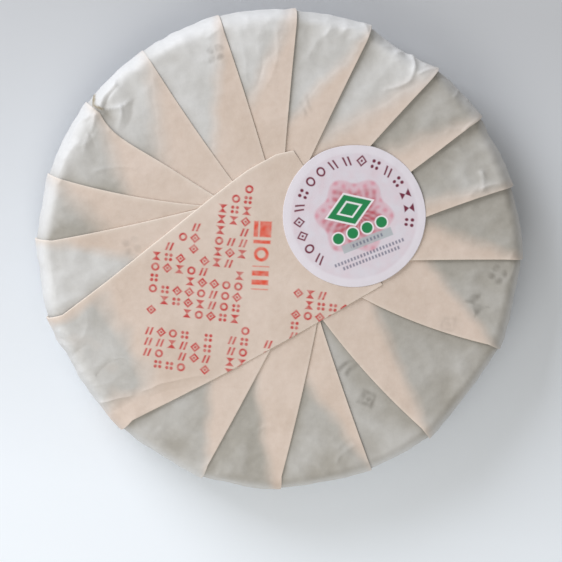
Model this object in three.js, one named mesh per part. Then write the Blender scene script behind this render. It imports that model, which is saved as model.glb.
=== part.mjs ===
// A pressed tea cake in its paper wrapper, lying on its domed front with the pleated back up.
// Millimetres, +Z up. The origin is the middle of the box round the cake, at its foot.
import * as THREE from "three";
import { mergeGeometries, mergeVertices } from "three/addons/utils/BufferGeometryUtils.js";

// Driving dimensions of the cake
const DIAMETER = 220;
const THICKNESS = 28;
const FACE_RADIUS = 103;
const FACE_FALL = 0.8;
const WAIST_HEIGHT = 13;
const SPOT_RADIUS = 50;
const SHOULDER_SQUARENESS = 2.6;
const SHOULDER_RUN = 18;
const UNDER_RUN = 64;
const OUTLINE_POWER = 3;

// Driving dimensions of the paper's pleats
const FOLD_LIFT = 0.9;
const ROOT_LIFT = 0.5;
const FLAP_LIFT = 1.2;
const ROOT_SHARE = 0.12;
const HEM_RUN = 21;
const EDGE_SHARE = 0.06;

// Driving dimensions of the round label
const LABEL_DIAMETER = 65;
const LABEL_THICKNESS = 0.3;
const LABEL_GAP = 0.15;
const LABEL_X = 33.6;
const LABEL_Y = 16.1;

// The folds' corners stand out furthest on the right, so the cake's middle is this far from its box's.
const MIDDLE_X = -0.58;
const MIDDLE_Y = 0.15;

// Fineness of the meshes
const PANEL_COLUMNS = 5;
const FLAP_COLUMNS = 9;
const FACE_ROWS = 8;
const SIDE_ROWS = 7;
const UNDER_ROWS = 6;
const HEM_ROWS = 2;
const LABEL_SEGMENTS = 64;
const WELD = 1e-4;

const WAIST_RADIUS = DIAMETER / 2 - FOLD_LIFT;
const WAIST_RUN = FACE_RADIUS + SHOULDER_RUN;
const ROWS = FACE_ROWS + SIDE_ROWS + UNDER_ROWS;
const WALL_ROWS = FACE_ROWS + SIDE_ROWS + HEM_ROWS;
const QUARTER = Math.PI / 2;

// The folds in clockwise order, from the flap's upper edge round to its lower edge.
// bearing: where the fold crosses the rim, in degrees from +X.
// inner: where it runs in under the flap. bow: how far it curves to its left on the way in.
// corner: how far it stands out past the round rim. dip: how far the next panel is flattened.
const FOLDS = [
  { bearing: 196.0, inner: [5.9, 45.9], bow: 0.9, corner: 0, dip: 0.5 },
  { bearing: 177.0, inner: [-37.6, 19.4], bow: -0.5, corner: 0.7, dip: 0.9 },
  { bearing: 161.5, inner: [-36.2, 21.1], bow: -1.5, corner: 0.5, dip: 0.4 },
  { bearing: 142.3, inner: [-30.7, 25.9], bow: -1.2, corner: 0.2, dip: 0.3 },
  { bearing: 124.2, inner: [-21.7, 32.1], bow: -0.6, corner: 0.3, dip: 0.5 },
  { bearing: 104.3, inner: [-6.9, 41.7], bow: 0.4, corner: 0, dip: 0.8 },
  { bearing: 85.8, inner: [2.3, 45.8], bow: -0.2, corner: 0, dip: 0.8 },
  { bearing: 67.5, inner: [11.1, 36.7], bow: -0.2, corner: 0, dip: 3.6 },
  { bearing: 48.5, inner: [19.8, 23.0], bow: -0.6, corner: 0, dip: 0.5 },
  { bearing: 33.1, inner: [27.0, 11.7], bow: 0.2, corner: 0.4, dip: 0.6 },
  { bearing: 15.1, inner: [33.6, 1.3], bow: -1.2, corner: 0.9, dip: 0.3 },
  { bearing: -2.4, inner: [37.5, -4.9], bow: -0.3, corner: 1.8, dip: 0.9 },
  { bearing: -24.4, inner: [38.5, -22.0], bow: 1.9, corner: 1.5, dip: 1.8 },
  { bearing: -51.5, inner: [20.6, -33.0], bow: 1.6, corner: 1.2, dip: 0.3 },
  { bearing: -67.2, inner: [18.6, -33.2], bow: 0.3, corner: 0, dip: 0.8 },
  { bearing: -89.6, inner: [16.6, -34.2], bow: -0.6, corner: 0, dip: 0.4 },
  { bearing: -108.7, inner: [-5.0, -45.8], bow: -0.2, corner: 0, dip: 0.8 },
  { bearing: -131.3, inner: [46.5, -15.5], bow: -0.8, corner: -1.2, dip: 2.2 },
];
const CORNER_PANEL = 6; // this panel's inner edge goes round the flap's upper corner
const LOWEST_PANEL = 13; // both of this panel's edges lie under its neighbours

const mix = (a, b, t) => a + (b - a) * t;
const mixPoint = (a, b, t) => [mix(a[0], b[0], t), mix(a[1], b[1], t)];
const radians = (degrees) => (degrees * Math.PI) / 180;
const rimPoint = (bearing) => [
  FACE_RADIUS * Math.cos(radians(bearing)),
  FACE_RADIUS * Math.sin(radians(bearing)),
];

// Half of the cake's section: a run along the paper, from the middle of the back, to radius and height.
function profile(run) {
  if (run <= FACE_RADIUS) {
    return { r: run, z: THICKNESS - FACE_FALL * (run / FACE_RADIUS) ** 2 };
  }
  if (run <= WAIST_RUN) {
    const turn = ((run - FACE_RADIUS) / SHOULDER_RUN) * QUARTER;
    const power = 2 / SHOULDER_SQUARENESS;
    const rise = THICKNESS - FACE_FALL - WAIST_HEIGHT;
    return {
      r: FACE_RADIUS + (WAIST_RADIUS - FACE_RADIUS) * Math.sin(turn) ** power,
      z: WAIST_HEIGHT + rise * Math.max(Math.cos(turn), 0) ** power,
    };
  }
  const turn = Math.min((run - WAIST_RUN) / UNDER_RUN, 1) * QUARTER;
  return {
    r: SPOT_RADIUS + (WAIST_RADIUS - SPOT_RADIUS) * Math.cos(turn),
    z: WAIST_HEIGHT * (1 - Math.sin(turn)),
  };
}

// How far the rim stands out of, or falls short of, a true circle at a bearing in degrees.
function outline(bearing) {
  const first = FOLDS[0].bearing;
  const turned = first - ((((first - bearing) % 360) + 360) % 360);
  const after = FOLDS.findIndex((fold) => fold.bearing < turned);
  const index = after < 0 ? FOLDS.length - 1 : after - 1;
  const from = FOLDS[index];
  const to = FOLDS[(index + 1) % FOLDS.length];
  const end = index === FOLDS.length - 1 ? first - 360 : to.bearing;
  const across = (from.bearing - turned) / (from.bearing - end);
  return mix(from.corner, to.corner, across) - from.dip * 4 * across * (1 - across);
}

// The point at a bearing in degrees and a run along the paper, lifted along the outward normal.
function skinPoint(bearing, run, lift) {
  const here = profile(run);
  const before = profile(Math.max(run - 0.25, 0));
  const after = profile(run + 0.25);
  const length = Math.hypot(after.r - before.r, after.z - before.z) || 1;
  const normalR = (before.z - after.z) / length;
  const normalZ = (after.r - before.r) / length;
  const shift = outline(bearing) * (here.r / WAIST_RADIUS) ** OUTLINE_POWER;
  const radius = here.r + shift + normalR * lift;
  const angle = radians(bearing);
  return [radius * Math.cos(angle), radius * Math.sin(angle), here.z + normalZ * lift];
}

// The same for a point of the flat back, seen from above.
function backPoint([x, y], lift) {
  return skinPoint((Math.atan2(y, x) * 180) / Math.PI, Math.hypot(x, y), lift);
}

// A panel's inner edge, under the flap's edge. The flap's upper corner is a vertex of one of them.
function innerPoint(sheet, across) {
  if (!sheet.corner) return mixPoint(sheet.from.inner, sheet.to.inner, across);
  const turn = 1 / sheet.columns;
  if (across <= turn) return mixPoint(sheet.from.inner, sheet.corner, across / turn);
  return mixPoint(sheet.corner, sheet.to.inner, (across - turn) / (1 - turn));
}

// Where a sheet's point lies on the flat back: across from one fold to the other, out from 0 to 1.
// Both side edges are the folds' own bowed lines, and the outer edge is an arc of the rim.
function planPoint(sheet, across, out) {
  const inner = innerPoint(sheet, across);
  const rim = rimPoint(mix(sheet.from.bearing, sheet.to.bearing, across));
  const [x, y] = mixPoint(inner, rim, out);
  const length = Math.hypot(rim[0] - inner[0], rim[1] - inner[1]);
  const bow = mix(sheet.from.bow, sheet.to.bow, across) * 4 * out * (1 - out);
  return [x + ((rim[1] - inner[1]) / length) * bow, y - ((rim[0] - inner[0]) / length) * bow];
}

// A sheet's lift: its own rule across, evened out at its root, and none once it is past the hem.
function sheetLift(sheet, across, out, run) {
  const root = Math.min(out / ROOT_SHARE, 1);
  const hem = Math.min(Math.max(run - WAIST_RUN, 0) / HEM_RUN, 1);
  return mix(ROOT_LIFT, sheet.lift(across), sheet.flap ? 1 : root) * (1 - hem);
}

// A sheet's vertex on a row: rows run out over the back, down the side, and under to the resting spot.
function sheetPoint(sheet, across, row) {
  const bearing = mix(sheet.from.bearing, sheet.to.bearing, across);
  if (row < FACE_ROWS) {
    const out = row / FACE_ROWS;
    return backPoint(planPoint(sheet, across, out), sheetLift(sheet, across, out, 0));
  }
  const down = Math.min(row - FACE_ROWS, SIDE_ROWS) / SIDE_ROWS;
  const under = Math.max(row - FACE_ROWS - SIDE_ROWS, 0) / UNDER_ROWS;
  const run = FACE_RADIUS + SHOULDER_RUN * down + UNDER_RUN * under;
  return skinPoint(bearing, run, sheetLift(sheet, across, 1, run));
}

// A grid of facets over place(column, row), for whole columns and rows.
function gridGeometry(columns, rows, place) {
  const geometry = new THREE.PlaneGeometry(1, 1, columns, rows);
  const position = geometry.attributes.position;
  for (let i = 0; i < position.count; i++) {
    const column = i % (columns + 1);
    const row = rows - Math.floor(i / (columns + 1));
    position.setXYZ(i, ...place(column, row));
  }
  return geometry;
}

// The sheets in clockwise order: the flap first, then the panels. Each panel is thick along the
// edge that lies on top of its neighbour.
function makeSheets() {
  const lower = FOLDS[FOLDS.length - 1];
  const flap = {
    from: { ...lower, bearing: lower.bearing + 360 },
    to: FOLDS[0],
    columns: FLAP_COLUMNS,
    flap: true,
    lift: () => FLAP_LIFT,
  };
  const panels = FOLDS.slice(0, -1).map((from, index) => {
    const to = FOLDS[index + 1];
    const lift = (across) => {
      if (index === LOWEST_PANEL) return 0;
      return FOLD_LIFT * (index < LOWEST_PANEL ? across : 1 - across);
    };
    const corner = index === CORNER_PANEL ? FOLDS[0].inner : null;
    return { from, to, columns: PANEL_COLUMNS, corner, lift };
  });
  const first = panels[0];
  const last = panels[panels.length - 1];
  const nearUpper = mixPoint(first.to.inner, rimPoint(first.from.bearing), EDGE_SHARE);
  const nearLower = mixPoint(last.from.inner, rimPoint(last.to.bearing), EDGE_SHARE);
  first.from = { ...first.from, inner: nearUpper };
  last.to = { ...last.to, inner: nearLower };
  return [flap, ...panels];
}

// The flap's outline on the flat back, clockwise: up its upper edge, along the panels' inner edges,
// down its lower edge, and back round the rim.
function flapOutline([flap, ...panels]) {
  const outlinePoints = [];
  for (let row = FACE_ROWS; row > 0; row--) {
    outlinePoints.push(backPoint(planPoint(panels[0], 0, row / FACE_ROWS), FLAP_LIFT));
  }
  panels.forEach((panel, index) => {
    const start = index === 0 ? 0 : 1;
    for (let column = start; column <= panel.columns; column++) {
      outlinePoints.push(backPoint(innerPoint(panel, column / panel.columns), FLAP_LIFT));
    }
  });
  for (let row = 1; row <= FACE_ROWS; row++) {
    outlinePoints.push(backPoint(planPoint(panels[panels.length - 1], 1, row / FACE_ROWS), FLAP_LIFT));
  }
  for (let column = 1; column < flap.columns; column++) {
    outlinePoints.push(sheetPoint(flap, column / flap.columns, FACE_ROWS));
  }
  return outlinePoints;
}

// The flap's top on the flat back.
function flapTop(sheets) {
  const points = flapOutline(sheets).reverse();
  const flat = points.map(([x, y]) => new THREE.Vector2(x, y));
  const geometry = new THREE.BufferGeometry();
  geometry.setAttribute("position", new THREE.Float32BufferAttribute(points.flat(), 3));
  geometry.setIndex(THREE.ShapeUtils.triangulateShape(flat, []).flat());
  return geometry;
}

// The step down from a sheet's last column to the next sheet's first one.
// On the flat back the flap's edge is the line of the panel that it borders.
function stepGeometry(sheet, next) {
  const edge = (own, other, across, otherAcross, row) => {
    if (!own.flap || row >= FACE_ROWS) return sheetPoint(own, across, row);
    return backPoint(planPoint(other, otherAcross, row / FACE_ROWS), FLAP_LIFT);
  };
  return gridGeometry(1, WALL_ROWS, (column, row) =>
    column === 0 ? edge(sheet, next, 1, 0, row) : edge(next, sheet, 0, 1, row),
  );
}

// The step down from the flap to a panel's inner edge.
function rootGeometry(panel) {
  return gridGeometry(panel.columns, 1, (column, row) => {
    const across = column / panel.columns;
    return row ? sheetPoint(panel, across, 0) : backPoint(innerPoint(panel, across), FLAP_LIFT);
  });
}

// A sheet's own surface. The flap's part on the flat back is made apart.
function sheetGeometry(sheet) {
  const first = sheet.flap ? FACE_ROWS : 0;
  return gridGeometry(sheet.columns, ROWS - first, (column, row) =>
    sheetPoint(sheet, column / sheet.columns, first + row),
  );
}

// The round spot that the cake rests on, as one fan for each sheet.
function spotGeometry(sheet) {
  return gridGeometry(sheet.columns, 1, (column, row) =>
    row ? [0, 0, 0] : sheetPoint(sheet, column / sheet.columns, ROWS),
  );
}

// Several surfaces that meet along shared vertices, as one closed surface without collapsed facets.
function closedGeometry(pieces) {
  pieces.forEach((piece) => {
    piece.deleteAttribute("normal");
    piece.deleteAttribute("uv");
  });
  const welded = mergeVertices(mergeGeometries(pieces), WELD);
  const kept = [];
  for (let i = 0; i < welded.index.count; i += 3) {
    const [a, b, c] = welded.index.array.slice(i, i + 3);
    if (a !== b && b !== c && c !== a) kept.push(a, b, c);
  }
  welded.setIndex(kept);
  welded.computeVertexNormals();
  return welded;
}

// The whole wrapped cake: side and underside, pleated panels and flap as one solid.
function wrappedCake() {
  const sheets = makeSheets();
  const pieces = [flapTop(sheets)];
  sheets.forEach((sheet, index) => {
    const next = sheets[(index + 1) % sheets.length];
    pieces.push(sheetGeometry(sheet), spotGeometry(sheet), stepGeometry(sheet, next));
    if (!sheet.flap) pieces.push(rootGeometry(sheet));
  });
  const paper = new THREE.MeshStandardMaterial({ color: 0xd3c6ba, roughness: 0.7, metalness: 0 });
  paper.flatShading = true;
  const mesh = new THREE.Mesh(closedGeometry(pieces), paper);
  mesh.name = "wrapped_cake";
  mesh.position.set(MIDDLE_X, MIDDLE_Y, 0);
  return mesh;
}

// The round label, a thin disc lying over the flap and the ends of the folds.
function roundLabel() {
  const radius = LABEL_DIAMETER / 2;
  const low = FLAP_LIFT + LABEL_GAP;
  const high = low + LABEL_THICKNESS;
  const section = [
    [0, low],
    [radius / 2, low],
    [radius, low],
    [radius, high],
    [radius / 2, high],
    [0, high],
  ].map(([r, z]) => new THREE.Vector2(r, z));
  const geometry = new THREE.LatheGeometry(section, LABEL_SEGMENTS).rotateX(QUARTER);
  const position = geometry.attributes.position;
  for (let i = 0; i < position.count; i++) {
    const run = Math.hypot(position.getX(i) + LABEL_X, position.getY(i) + LABEL_Y);
    position.setZ(i, position.getZ(i) + profile(run).z);
  }
  const coated = new THREE.MeshStandardMaterial({ color: 0xded5df, roughness: 0.4, metalness: 0 });
  const mesh = new THREE.Mesh(closedGeometry([geometry]), coated);
  mesh.name = "round_label";
  mesh.position.set(MIDDLE_X + LABEL_X, MIDDLE_Y + LABEL_Y, 0);
  return mesh;
}

const group = new THREE.Group();
group.add(wrappedCake(), roundLabel());

export default group;
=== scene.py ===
"""A pressed tea cake in its pleated paper wrapper, lying on its domed front with the pleated back up.

The wrapper is one sheet of thin cotton paper. Smooth over the front, it is gathered over the back in
knife pleats that run in under a broad flap, and a round label holds the flap down. Where the paper
lies in several layers it looks tan, and where one layer lies on the dark tea it looks cool grey.

Sizes are real ones in millimetres, and MM turns them into Blender's metres. Bearings are degrees
from +X, and a run is a length along the paper from the middle of the back, over the shoulder and
round under the front.
"""

import logging
import math
from dataclasses import dataclass, field, replace
from enum import Enum

import bpy
import numpy as np
from mathutils import Matrix


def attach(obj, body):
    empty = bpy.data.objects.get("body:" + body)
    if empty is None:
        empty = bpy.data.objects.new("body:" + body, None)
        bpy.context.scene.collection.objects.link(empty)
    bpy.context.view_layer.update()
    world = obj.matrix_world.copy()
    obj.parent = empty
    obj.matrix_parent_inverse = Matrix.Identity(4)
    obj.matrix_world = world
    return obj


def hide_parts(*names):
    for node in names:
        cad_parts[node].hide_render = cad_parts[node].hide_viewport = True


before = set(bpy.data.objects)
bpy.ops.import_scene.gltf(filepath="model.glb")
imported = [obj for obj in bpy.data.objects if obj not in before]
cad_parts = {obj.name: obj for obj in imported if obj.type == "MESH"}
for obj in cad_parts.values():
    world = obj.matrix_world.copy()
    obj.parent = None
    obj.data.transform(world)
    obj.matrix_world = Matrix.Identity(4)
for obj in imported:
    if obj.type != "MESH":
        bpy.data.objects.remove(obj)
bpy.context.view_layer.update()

MM = 0.001
LOG = logging.getLogger("tea_cake")
Array = np.ndarray


# Small helpers

def linear(hex_colour: str) -> tuple[float, float, float, float]:
    """Turns an sRGB hex colour into linear RGBA, by the sRGB curve.

    Args:
        hex_colour: a colour such as "#D3C6BA".

    Returns:
        Linear red, green, blue and an alpha of 1.
    """
    channels = [int(hex_colour[i : i + 2], 16) / 255 for i in (1, 3, 5)]
    curve = [c / 12.92 if c <= 0.04045 else ((c + 0.055) / 1.055) ** 2.4 for c in channels]
    return (curve[0], curve[1], curve[2], 1.0)


def smooth(t: Array) -> Array:
    """Eases a value from 0 to 1: three t squared less two t cubed, held flat outside that range."""
    held = np.clip(t, 0.0, 1.0)
    return held * held * (3 - 2 * held)


def ramp(value: Array, start: float, end: float) -> Array:
    """Eases from 0 at the start to 1 at the end, which may be the lower of the two."""
    return smooth((value - start) / (end - start))


def mix(a: Array, b: Array, t: Array) -> Array:
    """Blends in a straight line: a, and a share t of the way from a to b."""
    return a + (b - a) * t


def polar(radius: Array, bearing: Array) -> Array:
    """Places points seen from above: radius times the cosine and sine of the bearing."""
    angle = np.radians(bearing)
    return np.stack([radius * np.cos(angle), radius * np.sin(angle)], axis=-1)


def lattice_hash(cells: list[Array], seed: int) -> Array:
    """Scatters whole numbers: each cell's numbers are multiplied by primes, joined and stirred.

    Args:
        cells: one array of whole numbers for each axis.
        seed: which of the many scatterings is used.

    Returns:
        Whole numbers under 2 to the power 32, the same for the same cell and seed.
    """
    primes = (73856093, 19349663, 83492791)
    mask = np.uint64(0xFFFFFFFF)
    stirred = np.full(cells[0].shape, (seed * 2654435761) & 0xFFFFFFFF, dtype=np.uint64)
    for cell, prime in zip(cells, primes):
        stirred ^= (cell.astype(np.int64) * prime).astype(np.uint64) & mask
    stirred = ((stirred ^ (stirred >> np.uint64(15))) * np.uint64(2246822519)) & mask
    stirred = ((stirred ^ (stirred >> np.uint64(13))) * np.uint64(3266489917)) & mask
    return stirred ^ (stirred >> np.uint64(16))


def noise(points: Array, size: float, seed: int) -> Array:
    """Gradient noise: slopes drawn for each lattice corner, blended by a quintic curve.

    Args:
        points: points in mm, with two or three coordinates in the last axis.
        size: the lattice's cell in mm, about the width of one bump.
        seed: which noise is used.

    Returns:
        Values of about -0.7 to 0.7, one for each point.
    """
    scaled = points / size
    base = np.floor(scaled)
    part = scaled - base
    ease = part**3 * (part * (part * 6 - 15) + 10)
    axes = points.shape[-1]
    total = np.zeros(points.shape[:-1])
    for corner in np.ndindex(*(2,) * axes):
        cells = [base[..., a] + corner[a] for a in range(axes)]
        code = lattice_hash(cells, seed)
        weight = np.ones_like(total)
        slope = np.zeros_like(total)
        for a in range(axes):
            gradient = ((code >> np.uint64(10 * a)) & np.uint64(1023)).astype(float) / 511.5 - 1
            slope += gradient * (part[..., a] - corner[a])
            weight *= ease[..., a] if corner[a] else 1 - ease[..., a]
        total += weight * slope
    return total


# The wrapper's folds

@dataclass(frozen=True)
class Fold:
    """One fold line of the wrapper, on the back and down the side, and the panel after it.

    Attributes:
        bearing: where it crosses the rim, in degrees.
        inner: where it runs in under the flap, seen from above, in mm.
        bow: how far it curves to its left on the way in, in mm.
        corner: how far it stands out past the round rim, in mm.
        dip: how far the rim falls in between this fold and the next, in mm.
        stand: how high its edge stands over the sheet below, in mm.
        tea: how strongly the tea shows through the next panel where it has one layer, about 0
            to 1.
        plies: two points on the line where the next panel's inner layers end, rim first, in mm.
        hook: how far it swings to its left close to the rim, in mm.
        roll: radius of its rolled edge, in mm.
        soft: width of the change from several layers to one on the next panel, in mm.
    """

    bearing: float
    inner: tuple[float, float]
    bow: float
    corner: float
    dip: float
    stand: float
    tea: float = 0.5
    plies: tuple[float, float, float, float] | None = None
    hook: float = 0.0
    roll: float = 0.24
    soft: float = 8.0


# In clockwise order, from the flap's upper edge round to its lower edge, as in the solid model.
FOLDS = (
    Fold(196.0, (5.9, 45.9), 0.9, 0.0, 0.5, 1.25, 0.22, (-109.2, 5.1, -54.6, -4.9), roll=0.42),
    Fold(177.0, (-37.6, 19.4), -0.5, 0.7, 0.9, 0.85, 0.79, (-101.9, 32.4, -78.3, 6.9),
         roll=0.38, soft=15.0),
    Fold(161.5, (-36.2, 21.1), -1.5, 0.5, 0.4, 0.9, 0.61, (-83.3, 63.3, -70.5, 25.5),
         roll=0.38, soft=12.0),
    Fold(142.3, (-30.7, 25.9), -1.2, 0.2, 0.3, 0.9, 0.38, (-59.6, 86.9, -54.6, 41.5),
         hook=-2.6, roll=0.34, soft=15.0),
    Fold(124.2, (-21.7, 32.1), -0.6, 0.3, 0.5, 0.7, 0.13, (-27.8, 102.8, -31.5, 46.0), soft=10.0),
    Fold(104.3, (-6.9, 41.7), 0.4, 0.0, 0.8, 0.75, 0.29, (4.5, 107.4, -16.0, 66.4), soft=12.0),
    Fold(85.8, (2.3, 45.8), -0.2, 0.0, 0.8, 1.2, 0.19, (39.9, 98.3, 6.7, 63.3), soft=9.0),
    Fold(67.5, (11.1, 36.7), -0.2, 0.0, 3.6, 1.5, 0.18, (71.7, 81.4, 20.4, 52.8), soft=15.0),
    Fold(48.5, (19.8, 23.0), -0.6, 0.0, 0.5, 1.7, 0.79, (91.3, 59.6, 47.6, 45.1), soft=13.0),
    Fold(33.1, (27.0, 11.7), 0.2, 0.4, 0.6, 1.7, 0.67, (104.9, 28.7, 63.5, 21.9), soft=11.0),
    Fold(15.1, (33.6, 1.3), -1.2, 0.9, 0.3, 1.6, 1.03, (108.1, -3.1, 65.8, 12.4), soft=9.0),
    Fold(-2.4, (37.5, -4.9), -0.3, 1.8, 0.9, 1.1, 0.72, (97.2, -43.1, 67.2, -5.4)),
    Fold(-24.4, (38.5, -22.0), 1.9, 1.5, 1.8, 1.0, 0.70, (66.7, -83.5, 43.1, -25.8)),
    Fold(-51.5, (20.6, -33.0), 1.6, 1.2, 0.3, 0.95, 0.60),
    Fold(-67.2, (18.6, -33.2), 0.3, 0.0, 0.8, 1.0, 0.71, (37.2, -94.0, 9.0, -56.3)),
    Fold(-89.6, (16.6, -34.2), -0.6, 0.0, 0.4, 0.8, 0.95, (-4.6, -104.9, -11.5, -60.8)),
    Fold(-108.7, (-5.0, -45.8), -0.2, 0.0, 0.8, 0.8, 0.66, (-34.2, -101.3, -32.8, -56.3)),
    Fold(-131.3, (46.5, -15.5), -0.8, -1.2, 2.2, 1.25),
)
# Where the first and the last panel run in under the flap, beside its two edges, in mm.
UNDER_FLAP = ((-36.0, 6.0), (-28.8, -47.1))
# The panels, counted from 0, whose inner edge bends round the flap's corner, and whose two
# neighbours both lie over it.
CORNER_PANEL = 6
LOWEST_PANEL = 13


class OnTop(Enum):
    """Which of a sheet's two side edges is a fold that lies over its neighbour."""

    FIRST = "first"
    LAST = "last"
    BOTH = "both"
    NEITHER = "neither"


# The cake's form

@dataclass
class CakeForm:
    """The pressed cake's own form: flat back, squared shoulder, round waist and domed front.

    Attributes:
        diameter: of the widest ring over the folds, in mm.
        fold_lift: how far the folds stand out there, in mm.
        thickness: height of the back's middle, in mm.
        face_radius: of the back, up to the shoulder, in mm.
        face_fall: how far the back falls from its middle to the shoulder, in mm.
        waist_height: of the widest ring, in mm.
        spot_radius: of the flat spot in the middle of the front, in mm.
        squareness: the power of the shoulder's ellipse, 2 for a plain one.
        shoulder_run: run from the back's rim to the widest ring, in mm.
        under_run: run from the widest ring to the flat spot, in mm.
        fade_height: over how many mm above the widest ring the wrinkles grow to full height.
        outline_power: how fast the rim's own outline dies away towards the middle.
        normal_step: run over which the slope of the skin is taken, in mm.
        middle: where the cake's middle stands in the frame of the solid model, in mm.
    """

    diameter: float = 220.0
    fold_lift: float = 0.9
    thickness: float = 28.0
    face_radius: float = 103.0
    face_fall: float = 0.8
    waist_height: float = 13.0
    spot_radius: float = 50.0
    squareness: float = 2.6
    shoulder_run: float = 18.0
    under_run: float = 64.0
    fade_height: float = 8.0
    outline_power: float = 3.0
    normal_step: float = 0.4
    middle: tuple[float, float] = (-0.58, 0.15)

    @property
    def waist_radius(self) -> float:
        """Radius of the widest ring, under the folds."""
        return self.diameter / 2 - self.fold_lift

    @property
    def waist_run(self) -> float:
        """Run at which the paper reaches the widest ring."""
        return self.face_radius + self.shoulder_run

    def profile(self, run: Array) -> tuple[Array, Array]:
        """Half of the cake's section.

        The back is a very low dome: its height falls with the square of the radius. The shoulder is
        a quarter of a squared ellipse, whose sine and cosine are raised to 2 over its squareness.
        The front is a quarter ellipse down to the flat spot, and the spot is level.

        Args:
            run: runs along the paper in mm.

        Returns:
            Radius and height in mm.
        """
        back = np.minimum(run, self.face_radius)
        top = self.thickness - self.face_fall
        power = 2 / self.squareness
        turn = np.clip((run - self.face_radius) / self.shoulder_run, 0, 1) * math.pi / 2
        under = np.clip((run - self.waist_run) / self.under_run, 0, 1) * math.pi / 2
        past = np.maximum(run - self.waist_run - self.under_run, 0)
        reach = self.waist_radius - self.face_radius
        side_r = self.face_radius + reach * np.sin(turn) ** power
        side_z = self.waist_height + (top - self.waist_height) * np.abs(np.cos(turn)) ** power
        front_r = self.spot_radius + (self.waist_radius - self.spot_radius) * np.cos(under) - past
        front_z = self.waist_height * (1 - np.sin(under))
        back_z = self.thickness - self.face_fall * (back / self.face_radius) ** 2
        stretches = [run < self.face_radius, run < self.waist_run]
        radius = np.select(stretches, [back, side_r], front_r)
        return radius, np.select(stretches, [back_z, side_z], front_z)

    def outline(self, bearing: Array) -> Array:
        """How far the rim stands out of a circle: corners at the folds and a parabola's dip between.

        Args:
            bearing: bearings in degrees.

        Returns:
            Offsets in mm.
        """
        first = FOLDS[0].bearing
        starts = np.array([fold.bearing for fold in FOLDS])
        ends = np.append(starts[1:], first - 360)
        corners = np.array([fold.corner for fold in FOLDS])
        dips = np.array([fold.dip for fold in FOLDS])
        turned = first - (first - bearing) % 360
        index = np.clip(np.searchsorted(-starts, -turned, side="right") - 1, 0, len(FOLDS) - 1)
        across = (starts[index] - turned) / (starts[index] - ends[index])
        flat = mix(corners[index], np.roll(corners, -1)[index], across)
        return flat - dips[index] * 4 * across * (1 - across)

    def skin(self, bearing: Array, run: Array, lift: Array) -> Array:
        """Points lifted off the cake along its outward normal.

        Args:
            bearing: bearings in degrees.
            run: runs in mm.
            lift: heights over the cake in mm.

        Returns:
            Points in mm, in the frame of the solid model.
        """
        radius, height = self.profile(run)
        r0, z0 = self.profile(np.maximum(run - self.normal_step, 0))
        r1, z1 = self.profile(run + self.normal_step)
        length = np.maximum(np.hypot(r1 - r0, z1 - z0), 1e-9)
        shift = self.outline(bearing) * (radius / self.waist_radius) ** self.outline_power
        plan = polar(radius + shift + (z0 - z1) / length * lift, bearing)
        z = height + (r1 - r0) / length * lift
        return np.stack([plan[..., 0] + self.middle[0], plan[..., 1] + self.middle[1], z], axis=-1)


# How the paper lies

@dataclass(frozen=True)
class Wrinkle:
    """One sharp wrinkle pinched into the paper, from start to end, seen from above.

    Attributes:
        start: one end in mm.
        end: the other end in mm.
        height: how far it stands up in mm, or down if negative.
        width: how far from its line it has fallen to a third, in mm.
        bend: how far it curves to its left half way along, in mm.
    """

    start: tuple[float, float]
    end: tuple[float, float]
    height: float
    width: float
    bend: float


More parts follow.
